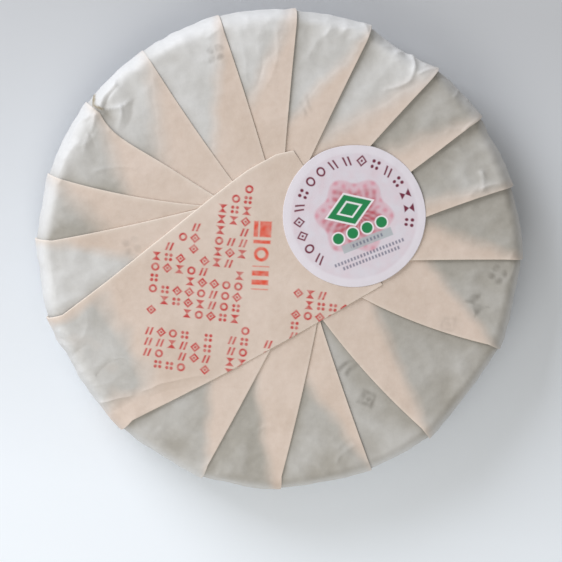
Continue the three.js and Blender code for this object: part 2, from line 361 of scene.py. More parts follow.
# Those of the pinched fold and the left side, then clockwise from the top, and last those on
# and beside the flap.
WRINKLES = (
    Wrinkle((-84.4, 65.9), (-84.1, 70.8), 2.1, 0.7, 0.0),
    Wrinkle((-83.8, 65.7), (-80.2, 64.8), 1.0, 0.8, 0.0),
    Wrinkle((-82.0, 66.6), (-74.8, 75.7), 1.5, 1.1, 0.8),
    Wrinkle((-80.4, 66.3), (-73.6, 75.7), -0.9, 0.9, 0.8),
    Wrinkle((-74.8, 75.7), (-71.6, 81.1), 1.2, 1.27, 0.4),
    Wrinkle((-80.7, 65.2), (-68.8, 68.9), 1.5, 0.94, -1.4),
    Wrinkle((-80.2, 64.3), (-76.2, 59.4), -1.9, 2.4, -0.6),
    Wrinkle((-72.9, 65.2), (-74.3, 57.1), 1.0, 1.5, 0.8),
    Wrinkle((-67.8, 68.4), (-70.2, 57.0), -0.75, 2.8, 1.2),
    Wrinkle((-71.6, 81.1), (-63.4, 81.6), 0.8, 1.36, 1.0),
    Wrinkle((-84.8, 62.1), (-87.5, 53.4), 1.26, 1.02, 0.8),
    Wrinkle((-85.7, 63.4), (-88.0, 58.9), -0.9, 1.2, 0.3),
    Wrinkle((-83.8, 60.7), (-80.7, 54.8), 0.7, 2.2, 0.3),
    Wrinkle((-84.3, 63.4), (-95.2, 51.6), 1.05, 1.1, -1.2),
    Wrinkle((-87.2, 54.6), (-85.2, 48.5), -0.5, 1.0, 0.3),
    Wrinkle((-86.1, 54.2), (-81.9, 53.6), -0.5, 1.0, 0.2),
    Wrinkle((-87.5, 53.4), (-89.8, 46.1), 0.77, 1.19, -0.6),
    Wrinkle((-84.3, 54.3), (-92.5, 47.5), 0.7, 0.94, 0.8),
    Wrinkle((-78.4, 55.7), (-74.8, 52.5), 0.8, 0.68, 0.3),
    Wrinkle((-91.6, 49.8), (-99.8, 38.9), 0.68, 1.53, -1.0),
    Wrinkle((-97.9, 42.5), (-101.6, 35.2), 0.63, 1.27, 0.6),
    Wrinkle((-83.8, 37.1), (-66.6, 38.4), 0.45, 0.9, 0.9),
    Wrinkle((-74.8, 32.5), (-81.1, 34.3), 0.35, 0.9, 0.3),
    Wrinkle((-74.3, 36.1), (-70.7, 31.1), 0.25, 1.0, 0.3),
    Wrinkle((-100.7, 31.6), (-97.9, 35.2), 0.5, 1.1, 0.2),
    Wrinkle((-100.7, 11.6), (-93.4, 26.1), 0.35, 2.6, 1.5),
    Wrinkle((-106.1, -4.8), (-104.3, -18.4), 0.4, 2.0, 0.8),
    Wrinkle((-82.5, -4.8), (-77.0, -17.5), 0.25, 3.0, 1.0),
    Wrinkle((-101.6, 5.2), (-99.8, -4.8), 0.3, 1.6, 0.6),
    Wrinkle((-34.3, 97.5), (-28.8, 101.1), 0.6, 1.0, 0.4),
    Wrinkle((-30.7, 86.1), (-34.3, 85.2), -0.35, 1.0, 0.2),
    Wrinkle((-48.4, 60.7), (-38.8, 59.8), 0.2, 1.6, 0.5),
    Wrinkle((-2.0, 100.7), (-6.1, 76.1), 0.5, 2.0, 1.8),
    Wrinkle((-16.6, 90.7), (-11.6, 69.8), 0.4, 2.4, -1.6),
    Wrinkle((-8.9, 87.1), (-10.7, 75.2), -0.4, 1.8, 0.6),
    Wrinkle((-18.9, 100.7), (-8.9, 102.0), 0.35, 1.6, 0.4),
    Wrinkle((-27.0, 98.0), (-22.5, 90.7), 0.3, 1.4, 0.3),
    Wrinkle((28.9, 100.7), (40.7, 98.0), 0.8, 1.1, 0.8),
    Wrinkle((30.7, 97.0), (35.7, 95.2), 0.5, 0.9, 0.4),
    Wrinkle((38.4, 102.5), (40.2, 96.1), 0.6, 0.9, 0.3),
    Wrinkle((20.2, 98.0), (22.5, 102.0), 0.5, 0.9, 0.2),
    Wrinkle((12.1, 88.0), (22.5, 100.7), 0.35, 2.2, 1.2),
    Wrinkle((22.1, 98.9), (30.2, 93.4), 0.3, 1.6, 0.6),
    Wrinkle((59.8, 89.8), (47.5, 74.3), 1.25, 1.1, 6.2),
    Wrinkle((52.1, 89.8), (59.8, 88.9), 0.6, 1.6, 0.8),
    Wrinkle((46.1, 93.4), (54.8, 91.6), 0.45, 1.4, 0.8),
    Wrinkle((53.0, 86.1), (54.8, 79.8), 0.8, 4.6, 0.6),
    Wrinkle((63.0, 80.7), (70.2, 82.1), 0.96, 1.1, 0.4),
    Wrinkle((64.8, 84.3), (72.0, 81.6), 0.64, 1.0, 0.3),
    Wrinkle((35.7, 86.1), (41.1, 79.8), 0.25, 2.0, 0.6),
    Wrinkle((82.5, 75.2), (78.9, 70.2), 0.96, 0.9, 0.8),
    Wrinkle((85.7, 68.9), (88.0, 72.5), 0.72, 0.9, 0.2),
    Wrinkle((64.8, 71.6), (73.0, 66.1), 0.3, 1.6, 0.6),
    Wrinkle((83.9, 55.2), (88.9, 59.3), 0.8, 0.9, 0.3),
    Wrinkle((77.5, 56.1), (84.8, 54.3), 0.56, 1.1, 0.4),
    Wrinkle((91.1, 35.7), (92.0, 28.0), 1.2, 0.9, 0.5),
    Wrinkle((92.0, 28.0), (99.8, 30.7), 0.96, 1.1, 0.5),
    Wrinkle((89.3, 28.9), (85.2, 24.8), 0.56, 1.1, 0.3),
    Wrinkle((93.9, 54.3), (89.3, 59.3), 0.45, 1.1, 0.4),
    Wrinkle((103.9, -5.7), (108.0, 1.1), 0.45, 1.4, 0.5),
    Wrinkle((106.6, -6.6), (101.6, -14.8), 0.55, 1.4, 0.5),
    Wrinkle((98.4, -45.7), (93.4, -48.8), 0.5, 1.1, 0.3),
    Wrinkle((99.3, -40.2), (96.6, -35.7), 0.35, 1.2, 0.3),
    Wrinkle((68.4, -82.0), (65.2, -76.6), 0.4, 1.1, 0.2),
    Wrinkle((24.8, -95.7), (32.1, -88.4), 0.6, 1.3, 0.6),
    Wrinkle((32.1, -88.4), (38.9, -91.1), 0.5, 1.4, 0.5),
    Wrinkle((28.9, -92.9), (36.1, -96.1), 0.5, 1.2, 0.4),
    Wrinkle((26.1, -89.8), (29.8, -85.7), 0.4, 1.0, 0.3),
    Wrinkle((-27.5, -102.9), (-22.0, -104.7), 0.4, 1.0, 0.3),
    Wrinkle((-10.7, -82.0), (-4.3, -80.2), 0.35, 0.9, 0.9),
    Wrinkle((-41.6, -85.7), (-37.0, -91.1), 0.3, 1.4, 0.5),
    Wrinkle((8.4, -94.7), (16.6, -98.4), 0.35, 1.4, 0.5),
    Wrinkle((-99.8, -39.3), (-96.1, -43.4), -0.5, 1.6, 0.4),
    Wrinkle((-100.7, -35.7), (-94.8, -39.3), 0.5, 1.6, 0.6),
    Wrinkle((-84.3, -55.7), (-73.4, -48.6), -0.55, 2.6, 0.8),
    Wrinkle((-95.2, -47.9), (-89.8, -42.0), -0.5, 1.8, 0.3),
    Wrinkle((-81.1, -68.6), (-68.8, -65.4), 0.7, 0.9, 0.4),
    Wrinkle((-80.7, -72.9), (-68.8, -68.4), -0.35, 2.0, -1.0),
    Wrinkle((-62.9, -62.9), (-33.8, -57.0), 0.45, 1.2, 2.0),
    Wrinkle((-59.8, -65.7), (-38.8, -62.0), -0.3, 2.4, 1.4),
    Wrinkle((-85.0, -60.6), (-73.0, -56.5), 0.25, 2.4, -0.4),
    Wrinkle((-97.9, -22.0), (-88.8, -19.8), 0.3, 1.8, 0.8),
    Wrinkle((-75.7, -15.7), (-72.9, -22.9), 0.25, 1.2, 0.6),
    Wrinkle((-68.8, -76.6), (-49.8, -67.5), 0.3, 2.2, 1.0),
    Wrinkle((-75.2, -48.4), (-64.3, -52.0), 0.35, 1.4, 1.4),
)


@dataclass
class PaperRelief:
    """The paper's small shape: tea lumps felt through it, crumples near the rim, and wrinkles.

    Attributes:
        form: the cake's form.
        lump_height: of the tea leaves' bumps, in mm.
        lump_sizes: widths of the large and the small bumps, in mm.
        crumple_height: of the crumpled facets, in mm.
        facet_sizes: widths of the large and the small facets, in mm.
        sway_height: of the slow waves, in mm.
        sway_sizes: widths of the slow waves on the back and near the rim, in mm.
        pull_height: of the fine radial waves on the shoulder and side, in mm.
        pull_size: width and length of such a wave, in mm.
        rim_runs: between which the crumples grow to their full height, in mm.
        sway_runs: between which the slow waves near the rim set in, in mm.
        pull_start: runs between which the radial waves set in, in mm.
        pull_end: runs where they have ended and where they are still full, in mm.
        loose_and_lit_bearing: where the paper lies loosest on the tea, which is also where the key light
            falls from, in degrees.
        side_slack_and_painted_light: how much less closely the paper touches the tea down the side, and how
            much paler again the one layer is drawn on the side that the key light falls on, which is
            painted light, as shares.
        painted_light_runs: runs where that painted light has ended and where it is still full, in mm.
    """

    form: CakeForm
    lump_height: float = 0.32
    lump_sizes: tuple[float, float] = (7.0, 3.4)
    crumple_height: float = 1.2
    facet_sizes: tuple[float, float] = (19.0, 9.0)
    sway_height: float = 0.45
    sway_sizes: tuple[float, float] = (38.0, 24.0)
    pull_height: float = 0.30
    pull_size: tuple[float, float] = (5.0, 34.0)
    rim_runs: tuple[float, float] = (55.0, 105.0)
    sway_runs: tuple[float, float] = (82.0, 102.0)
    pull_start: tuple[float, float] = (88.0, 106.0)
    pull_end: tuple[float, float] = (168.0, 138.0)
    loose_and_lit_bearing: float = 135.0
    side_slack_and_painted_light: tuple[float, float] = (0.5, 0.38)
    painted_light_runs: tuple[float, float] = (170.0, 140.0)

    def looseness_and_lit_side(self, bearing: Array) -> Array:
        """How loose the paper lies, and how fully the key light falls there, 0 to 1: half of 1 and the
        cosine of the turn from the loose side.
        """
        return 0.5 + 0.5 * np.cos(np.radians(bearing - self.loose_and_lit_bearing))

    def wrinkled(self, points: Array) -> Array:
        """Sum of the wrinkles, each falling off as e to the minus distance over width.

        A wrinkle's line is a parabola over its two ends, and slow noise moves the points a little
        first, so that none is quite regular. Each has lost half of its height at its end, and all
        of them fade away down the side.

        Args:
            points: smooth points of the sheet in mm.

        Returns:
            Lifts in mm.
        """
        total = np.zeros(points.shape[:-1])
        moved = np.stack([noise(points, 9.0, 71), noise(points, 9.0, 72)], axis=-1)
        plan = points[..., :2] + 1.5 * moved
        widen = 1 + 0.6 * noise(points, 5.0, 73)
        for wrinkle in WRINKLES:
            start = np.array(wrinkle.start)
            along = np.array(wrinkle.end) - start
            length = np.hypot(*along)
            left = np.array([-along[1], along[0]]) / length
            held = np.clip(((plan - start) @ along) / length**2, 0, 1)
            bow = wrinkle.bend * 4 * held * (1 - held)
            away = plan - start - held[..., None] * along - bow[..., None] * left
            distance = np.hypot(away[..., 0], away[..., 1])
            total += wrinkle.height * (1 - 0.5 * held) * np.exp(-distance / (wrinkle.width * widen))
        return total * smooth((points[..., 2] - self.form.waist_height) / self.form.fade_height)

    def height(self, points: Array, bearing: Array, run: Array, plies: Array) -> Array:
        """The lift that the paper's small shape adds.

        Lumps are two sizes of noise. Crumples are a half less 2.2 times the noise's own size, which
        gives sharp ridges. Both are weaker where the paper is thick, and crumples grow towards the
        rim and towards the loose side. The radial waves are noise on the rim rolled out flat.

        Args:
            points: smooth points of the sheet in mm.
            bearing: their bearings in degrees.
            run: their runs in mm.
            plies: 0 where the paper is one layer, 1 where it is several.

        Returns:
            Lifts in mm, mostly within 1.
        """
        thin = 1 - 0.7 * plies
        rim = ramp(run, *self.rim_runs)
        lumps = noise(points, self.lump_sizes[0], 11) + 0.35 * noise(points, self.lump_sizes[1], 12)
        ridges = 0.5 - np.abs(noise(points, self.facet_sizes[0], 21)) * 2.2
        fine = 0.5 - np.abs(noise(points, self.facet_sizes[1], 22)) * 2.2
        crumple = ridges * mix(0.9, 1.35, self.looseness_and_lit_side(bearing)) + 0.42 * fine
        crumple = crumple * (0.22 + 0.78 * rim) * (0.3 + 0.7 * thin)
        sway = noise(points, self.sway_sizes[0], 31)
        sway += 1.6 * noise(points, self.sway_sizes[1], 32) * ramp(run, *self.sway_runs)
        wide, long = self.pull_size
        strip = np.stack([np.radians(bearing) * self.form.waist_radius / wide, run / long], axis=-1)
        pull = noise(strip, 1.0, 41) * ramp(run, *self.pull_start) * ramp(run, *self.pull_end)
        total = self.lump_height * lumps * (0.35 + 0.65 * thin) + self.sway_height * sway
        total += self.crumple_height * 0.5 * crumple + self.pull_height * pull
        return total + self.wrinkled(points)

    def tea_and_painted_light(self, points: Array, run: Array, small: Array, tea: float) -> Array:
        """How closely the paper lies on the tea: 1 where it touches, so that the tea shows through.

        Ridges stand off the tea and hollows touch it, with slow noise added. Down the side the
        paper stands off more, by half. On the side that the key light falls on it is drawn paler
        still, by most of the share, starting higher on the shoulder: that part is painted light.

        Args:
            points: smooth points of the sheet in mm.
            run: their runs in mm.
            small: the lifts of the paper's small shape in mm.
            tea: how strongly the tea shows through this sheet, about 0 to 1.

        Returns:
            Shares from 0 to 1.
        """
        cloud = 0.7 * noise(points, 28.0, 45) + 0.22 * noise(points, 11.0, 46)
        bearing = np.degrees(np.arctan2(points[..., 1], points[..., 0]))
        # Painted light: on the side that the key light falls on, the shoulder is drawn paler.
        loose = self.looseness_and_lit_side(bearing) ** 2
        side = smooth((run - self.form.face_radius - 1 + 5 * loose) / 9)
        slack_and_painted_light = self.side_slack_and_painted_light[0] + self.side_slack_and_painted_light[1] * loose * ramp(run, *self.painted_light_runs)
        return np.clip(tea + 0.1 - 0.3 * small + 0.7 * cloud, 0, 1) * (1 - slack_and_painted_light * side)


# Meshes from grids

# What a piece stands for: the record's material slot, and the node of the solid model.
WRAPPER = ("wrapping_paper", "wrapped_cake")
LABEL = ("label_paper", "round_label")


def grid_faces(rows: int, columns: int, closed: bool = False) -> Array:
    """Quads of a grid of vertices, counted row by row.

    Args:
        rows: number of vertex rows.
        columns: number of vertex columns.
        closed: whether the last column joins the first.

    Returns:
        Vertex numbers, four for each face, turning left seen from the lifted side when columns run
        clockwise and rows run outwards.
    """
    lanes = columns if closed else columns - 1
    row, column = np.meshgrid(np.arange(rows - 1), np.arange(lanes), indexing="ij")
    right = (column + 1) % columns
    corner = row * columns
    quads = [corner + column, corner + right, corner + columns + right, corner + columns + column]
    return np.stack(quads, axis=-1).reshape(-1, 4)


def build_piece(
    name: str,
    points: Array,
    faces: list[list[int]],
    material: bpy.types.Material,
    values: dict[str, Array],
    uv: Array,
    stands_for: tuple[str, str],
) -> bpy.types.Object:
    """Makes one finished piece that stands for a node of the solid model.

    Args:
        name: the piece's name.
        points: vertices in mm.
        faces: vertex numbers of each face.
        material: the piece's finish.
        values: named numbers or colours for each vertex, which the finish reads.
        uv: two coordinates in mm for each vertex, for patterns that follow the paper.
        stands_for: the record's material slot, which is not used, and the node that it stands for.

    Returns:
        The new object, at the origin.
    """
    mesh = bpy.data.meshes.new(name)
    mesh.from_pydata((points * MM).tolist(), [], faces)
    for key, data in values.items():
        kind = "FLOAT" if data.ndim == 1 else "FLOAT_COLOR"
        layer = mesh.attributes.new(key, kind, "POINT")
        layer.data.foreach_set("value" if data.ndim == 1 else "color", data.astype(np.float32).ravel())
    corners = np.empty(len(mesh.loops), dtype=np.int32)
    mesh.loops.foreach_get("vertex_index", corners)
    flat = (uv[corners] * MM).astype(np.float32)
    mesh.uv_layers.new(name="paper").data.foreach_set("uv", flat.ravel())
    mesh.polygons.foreach_set("use_smooth", np.ones(len(mesh.polygons), dtype=bool))
    mesh.materials.append(material)
    mesh.update()
    piece = bpy.data.objects.new(name, mesh)
    bpy.context.scene.collection.objects.link(piece)
    slot, node = stands_for
    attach(piece, "root")
    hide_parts(node)
    LOG.info("%s: %d vertices, %d faces", name, len(mesh.vertices), len(mesh.polygons))
    return piece


# Printed shapes

def covered(distance: Array, soft: float = 0.32) -> Array:
    """Share of ink at a signed distance from a shape's edge, negative inside, in mm."""
    return np.clip(0.5 - distance / soft, 0, 1)


def box_distance(x: Array, y: Array, half_x: float, half_y: float) -> Array:
    """Signed distance to a box round the origin: the larger of the two sides' distances."""
    return np.maximum(np.abs(x) - half_x, np.abs(y) - half_y)


def mark_distance(x: Array, y: Array, kind: Array) -> Array:
    """Signed distance to one of five plain marks, each about 3.4 mm across.

    The marks are a diamond round a dot, four dots, an hourglass, two slanted bars and a ring.

    Args:
        x: distance right of the mark's middle in mm.
        y: distance above it in mm.
        kind: which mark, 0 to 4.

    Returns:
        Distances in mm, negative inside.
    """
    ax, ay = np.abs(x), np.abs(y)
    dot = np.hypot(x, y)
    diamond = np.minimum((np.abs(ax + ay - 1.55) - 0.5) * 0.7, dot - 0.5)
    four = np.hypot(ax - 0.9, ay - 0.9) - 0.68
    hourglass = np.maximum((ax - 0.95 * ay - 0.15) * 0.75, ay - 1.65)
    slanted = np.maximum(np.abs(np.abs(x - 0.3 * y) - 0.82) - 0.42, ay - 1.6)
    ring = np.abs(dot - 1.25) - 0.42
    return np.choose(kind, [diamond, four, hourglass, slanted, ring])


def leaning(plan: Array, origin: tuple[float, float], lean: float) -> tuple[Array, Array]:
    """Reads points in the frame of a column that leans to the right.

    Args:
        plan: points seen from above, in mm.
        origin: the column's own origin in mm.
        lean: in degrees.

    Returns:
        Distances across the column and along it, in mm.
    """
    angle = math.radians(lean)
    moved = plan - np.array(origin)
    across = moved[..., 0] * math.cos(angle) - moved[..., 1] * math.sin(angle)
    along = moved[..., 0] * math.sin(angle) + moved[..., 1] * math.cos(angle)
    return across, along


@dataclass(frozen=True)
class PrintColumns:
    """Columns of small plain marks printed on the flap.

    Attributes:
        colour: the red ink.
        origin: middle of the first column at its foot level, in mm.
        lean: how far the columns lean to the right, in degrees.
        column_pitch: from one column to the next, in mm.
        mark_pitch: from one mark to the next, in mm.
        mark_scale: how many times as large the marks are as they are drawn.
        spans: each column's first and last mark, counted from the foot level. A column whose
            last is below its first is empty.
        gap: how many marks above its first one each column leaves one out.
    """

    colour: str = "#C23A38"
    origin: tuple[float, float] = (-61.9, -50.9)
    lean: float = 6.5
    column_pitch: float = 5.5
    mark_pitch: float = 4.95
    mark_scale: float = 1.14
    spans: tuple[tuple[int, int], ...] = (
        (0, 10), (0, 11), (0, 12), (0, 13), (0, 10), (0, 15), (5, 16), (0, 17), (1, 6),
        (1, 0), (2, 3), (1, 0), (3, 9), (5, 8), (5, 8), (5, 7), (6, 7), (7, 7),
    )
    gap: int = 4

    def ink(self, plan: Array) -> Array:
        """Share of ink at points seen from above.

        A point's distance along and across the columns gives its cell and its place in the cell.
        One cell in eleven is left empty besides.

        Args:
            plan: points in mm.

        Returns:
            Shares from 0 to 1.
        """
        across, along = leaning(plan, self.origin, self.lean)
        column = np.round(across / self.column_pitch)
        mark = np.round(along / self.mark_pitch)
        code = lattice_hash([column, mark], 7)
        kind = (code % np.uint64(5)).astype(int)
        x = across - column * self.column_pitch
        y = along - mark * self.mark_pitch
        inside = np.clip(column, 0, len(self.spans) - 1).astype(int)
        low, high = np.array(self.spans)[inside, 0], np.array(self.spans)[inside, 1]
        shown = (column == inside) & (mark >= low) & (mark <= high) & (mark != low + self.gap)
        shown &= (code >> np.uint64(8)) % np.uint64(11) != 0
        grown = self.mark_scale
        return covered(mark_distance(x / grown, y / grown, kind) * grown) * shown


@dataclass(frozen=True)
class DateBlocks:
    """A column of larger orange-red blocks, stamped beside the print.

    Attributes:
        colour: the stamp's ink.
        middle: middle of the column in mm.
        lean: how far it leans to the right, in degrees.
    """

    colour: str = "#DE5038"
    middle: tuple[float, float] = (-8.7, -2.0)
    lean: float = 3.0

    def ink(self, plan: Array) -> Array:
        """Share of ink: a split block, a bar, a ring and three bars, one under another.

        Each shape has its signed distance, and the least of them all is inked.

        Args:
            plan: points seen from above, in mm.

        Returns:
            Shares from 0 to 1.
        """
        x, y = leaning(plan, self.middle, self.lean)
        block = np.maximum(box_distance(x, y - 12.2, 4.0, 3.6), 0.35 - np.abs(x + 1.6))
        bar = box_distance(x, y - 6.4, 3.9, 0.8)
        ring = np.abs(np.hypot(x, y - 0.8) - 2.6) - 0.75
        bars = np.maximum(box_distance(x, y + 10.0, 3.8, 5.4), np.abs((y + 10.0) % 4.1 - 2.05) - 1.15)
        return covered(np.minimum(np.minimum(block, bar), np.minimum(ring, bars)), 0.5)


@dataclass(frozen=True)
class ShowThrough:
    """Faint plain marks on the paper's far side, and one tea stain, which show through it.

    Attributes:
        grey: the marks' tone through the paper.
        tea: the stain's colour.
        marks: each mark's middle in mm, its kind, its turn in degrees, and its strength.
        scale: how many times as large they are as the marks on the flap.
        stain_lines: the stain's twisted strands at the pinched end of a fold, each by its ends.
        stain_radius: half of a strand's width in mm.
        stain_strength: how strongly the stain shows, 0 to 1.
        end_height: the height on the side where all of it has faded away, in mm.
        fade_height: over how many mm above that it fades.
    """

    grey: str = "#6F6A62"
    tea: str = "#857348"
    marks: tuple[tuple[float, float, int, float, float], ...] = (
        (89.0, -24.5, 2, 30.0, 0.62), (99.0, -11.0, 1, 55.0, 0.62),
        (39.5, -67.5, 0, 20.0, 0.58), (30.5, -53.5, 3, -30.0, 0.55),
        (-30.0, 90.0, 1, 10.0, 0.40), (11.0, 66.0, 3, 40.0, 0.22),
        (-68.0, 3.0, 1, 20.0, 0.20), (76.5, -33.5, 0, 40.0, 0.15),
    )
    scale: float = 2.4
    stain_lines: tuple[tuple[float, float, float, float], ...] = (
        (-84.6, 66.0, -84.1, 70.4), (-84.6, 65.9, -81.0, 65.2),
    )
    stain_radius: float = 0.5
    stain_strength: float = 0.8
    end_height: float = 13.0
    fade_height: float = 8.0

    def brushed_marks(self, points: Array) -> Array:
        """Share of the marks' tone: each mark is turned, enlarged and roughened by noise.

        Args:
            points: points of the sheet in mm.

        Returns:
            Shares from 0 to 1.
        """
        share = np.zeros(points.shape[:-1])
        brushed = 0.7 * noise(points, 5.0, 66)
        for x0, y0, kind, turned, strength in self.marks:
            angle = math.radians(turned)
            dx, dy = points[..., 0] - x0, points[..., 1] - y0
            x = (dx * math.cos(angle) + dy * math.sin(angle)) / self.scale + brushed
            y = (dy * math.cos(angle) - dx * math.sin(angle)) / self.scale - brushed
            shape = mark_distance(x, y, np.full(x.shape, kind)) * self.scale
            share = np.maximum(share, covered(shape, 1.1) * strength)
        return share * np.clip(0.75 + 1.5 * noise(points, 3.4, 64), 0, 1)

    def stain(self, points: Array) -> Array:
        """Share of the stain's colour, by the distance from the nearest strand, moved by noise.

        Args:
            points: points of the sheet in mm.

        Returns:
            Shares from 0 to 1.
        """
        away = np.full(points.shape[:-1], np.inf)
        for x0, y0, x1, y1 in self.stain_lines:
            along = np.array([x1 - x0, y1 - y0])
            past = points[..., :2] - np.array([x0, y0])
            held = np.clip((past @ along) / (along @ along), 0, 1)[..., None] * along
            away = np.minimum(away, np.hypot(past[..., 0] - held[..., 0], past[..., 1] - held[..., 1]))
        inside = self.stain_radius - away + 0.7 * noise(points, 1.6, 65)
        return self.stain_strength * smooth(inside / 0.9 + 0.5)

    def ink(self, points: Array) -> tuple[Array, Array]:
        """Colour and share of what shows through: the stronger of marks and stain.

        Args:
            points: points of the sheet in mm.

        Returns:
            Linear colours with an alpha of 1, and shares from 0 to 1.
        """
        marks, stain = self.brushed_marks(points), self.stain(points)
        tea, grey = np.array(linear(self.tea)), np.array(linear(self.grey))
        shown = smooth((points[..., 2] - self.end_height) / self.fade_height)
        return np.where((stain > marks)[..., None], tea, grey), np.maximum(marks, stain) * shown


# The wrapper's sheets

@dataclass
class SheetGrid:
    """A sheet's vertices, as rows by columns, before the paper's small shape is added.

    Attributes:
        across: 0 at the first fold, 1 at the last one.
        from_low: the same, counted from the edge that lies low.
        past_rim: 0 on the back, and the run where the row is past its rim.
        bearing: in degrees.
        run: in mm.
        lift: over the cake, in mm.
        wide: each row's width in mm, as one column.
        base: the smooth points in mm.
    """

    across: Array
    from_low: Array
    past_rim: Array
    bearing: Array
    run: Array
    lift: Array
    wide: Array
    base: Array


@dataclass
class WrapperSheet:
    """One sheet of the gathered wrapper, between two folds, from under the flap to the hem.

    Across runs clockwise from the first fold to the last, and out runs from the inner end to the
    rim of the flat back. Past it the sheet follows the shoulder, the side and a little of the front.

    Attributes:
        name: the piece's name.
        form: the cake's form.
        relief: the paper's small shape.
        first: the fold at its counter-clockwise edge.
        last: the fold at its clockwise edge.
        on_top: which edges are folds that lie on top.
        flap_corner: the flap's corner, where the inner edge bends round it.
        corner_share: how far across the sheet that corner is, 0 to 1.
        low_lift: the lift of an edge that lies under its neighbour, in mm.
        turn_under: width of the paper turned in under a fold, in mm.
        tuck: how far the sheet runs on under its neighbour, in mm.
        hem_run: run over which the folds die away on the front, in mm.
        hem_share: what is left of the folds at the hem.
        inner_reach: how far the sheet runs on inwards under the flap, as a share of its length.
        narrowest: the least width that a row is taken to have, in mm.
        root_stands: how high a fold may stand at its root and at the first of the press shares.
        press_shares: how far out, 0 to 1, flap and label press it flat, start to let it rise
            and let it stand freely.
        ply_step: how far the paper rises where its inner layers begin, in mm.
        fold_shade_reach: how far from a fold its painted shade, and the tea where it presses the sheet
        below, still show, in mm.
        columns: vertices across.
        turn_columns: vertices round a rolled edge.
        under_columns: vertices across the paper turned in under it.
        rows: vertices along the back, the side and the front.
        show_through: what shows through from the paper's far side.
    """

    name: str
    form: CakeForm
    relief: PaperRelief
    first: Fold
    last: Fold
    on_top: OnTop
    flap_corner: tuple[float, float] | None = None
    corner_share: float = 0.2
    low_lift: float = 0.12
    turn_under: float = 1.6
    tuck: float = 2.6
    hem_run: float = 24.0
    hem_share: float = 0.03
    inner_reach: float = 0.09
    narrowest: float = 4.0
    root_stands: tuple[float, float] = (0.85, 1.15)
    press_shares: tuple[float, float, float] = (0.4, 0.45, 0.75)
    ply_step: float = 0.12
    fold_shade_reach: float = 3.5
    columns: int = 52
    turn_columns: int = 8
    under_columns: int = 4
    rows: tuple[int, int, int] = (84, 30, 22)
    show_through: ShowThrough = field(default_factory=ShowThrough)

    @property
    def top_fold(self) -> Fold:
        """The fold that lies over the neighbour."""
        return self.last if self.on_top is OnTop.LAST else self.first

    @property
    def low_fold(self) -> Fold:
        """The fold of the neighbour that lies over this sheet's low edge."""
        return self.last if self.on_top is OnTop.FIRST else self.first

    def plan(self, across: Array, out: Array) -> Array:
        """Where a point lies on the flat back: between the two bowed fold lines.

        The inner end and the rim's arc are joined by a straight line, which is bent by a parabola,
        and by the fourth power of out where a fold swings aside close to the rim.

        Args:
            across: 0 at the first fold, 1 at the last one.
            out: 0 at the inner end, 1 at the rim of the flat back.

        Returns:
            Points seen from above, in mm.
        """
        first, last = np.array(self.first.inner), np.array(self.last.inner)
        inner = mix(first, last, across[..., None])
        if self.flap_corner is not None:
            corner = np.array(self.flap_corner)
            before = mix(first, corner, across[..., None] / self.corner_share)
            rest = (across[..., None] - self.corner_share) / (1 - self.corner_share)
            inner = np.where(across[..., None] < self.corner_share, before, mix(corner, last, rest))
        rim = polar(self.form.face_radius, mix(self.first.bearing, self.last.bearing, across))
        away = rim - inner
        length = np.hypot(away[..., 0], away[..., 1])
        bow = mix(self.first.bow, self.last.bow, across) * 4 * out * (1 - out)
        # Out to the fourth times one less out is 1 / 12.2 at most, so that a hook is a length in mm.
        bow += mix(self.first.hook, self.last.hook, across) * 12.2 * np.abs(out) ** 4 * (1 - out)
        side = np.stack([away[..., 1], -away[..., 0]], axis=-1)
        return inner + away * out[..., None] + side * (bow / length)[..., None]

    def row_places(self) -> tuple[Array, Array]:
        """Where the rows lie: evenly along the back, down the side and round the front.

        Returns:
            Each row's share of the way out over the back, and its run once it is past the rim.
        """
        back, side, front = self.rows
        out = np.linspace(-self.inner_reach, 1, back)
        down = np.linspace(0, self.form.shoulder_run, side + 1)[1:] + self.form.face_radius
        under = np.linspace(0, self.hem_run, front + 1)[1:] + self.form.waist_run
        past = np.concatenate([down, under])
        return np.concatenate([out, np.ones(len(past))]), np.concatenate([np.zeros(back), past])

    def place(self, across: Array, out: Array, past_rim: Array) -> tuple[Array, Array]:
        """Places the sheet's points: by the plan on the back, and by the folds' bearings past its rim.

        Args:
            across: 0 at the first fold, 1 at the last one.
            out: 0 at the inner end, 1 at the rim of the flat back.
            past_rim: 0 on the back, and the run past its rim.

        Returns:
            Bearings in degrees and runs in mm.
        """
        plan = self.plan(across, out)
        on_back = past_rim == 0
        back_bearing = np.degrees(np.arctan2(plan[..., 1], plan[..., 0]))
        rim_bearing = mix(self.first.bearing, self.last.bearing, across)
        bearing = np.where(on_back, back_bearing, rim_bearing)
        return bearing, np.where(on_back, np.hypot(plan[..., 0], plan[..., 1]), past_rim)

    def width(self, out: Array, past_rim: Array) -> Array:
        """The sheet's width: the distance of its two edges on the back, and an arc past the rim.

        Args:
            out: each row's share of the way out.
            past_rim: 0 on the back, and the row's run past its rim.

        Returns:
            Each row's width in mm.
        """
        ends = self.plan(np.ones_like(out), out) - self.plan(np.zeros_like(out), out)
        arc = abs(math.radians(self.last.bearing - self.first.bearing))
        radius, _ = self.form.profile(past_rim)
        wide = np.where(past_rim == 0, np.hypot(ends[..., 0], ends[..., 1]), radius * arc)
        return np.maximum(wide, self.narrowest)

    def fold_stand(self, out: Array, fade: Array) -> Array:
        """How high the fold on top stands: less at its root, where flap and label press it flat.

        Args:
            out: each row's share of the way out.
            fade: what is left of the folds on each row.

        Returns:
            Lifts in mm.
        """
        stand = self.top_fold.stand
        flat, rising, free = self.press_shares
        root, beyond = (min(stand, most) for most in self.root_stands)
        pressed = mix(root, beyond, ramp(out, 0.0, flat))
        return mix(pressed, stand, ramp(out, rising, free)) * fade

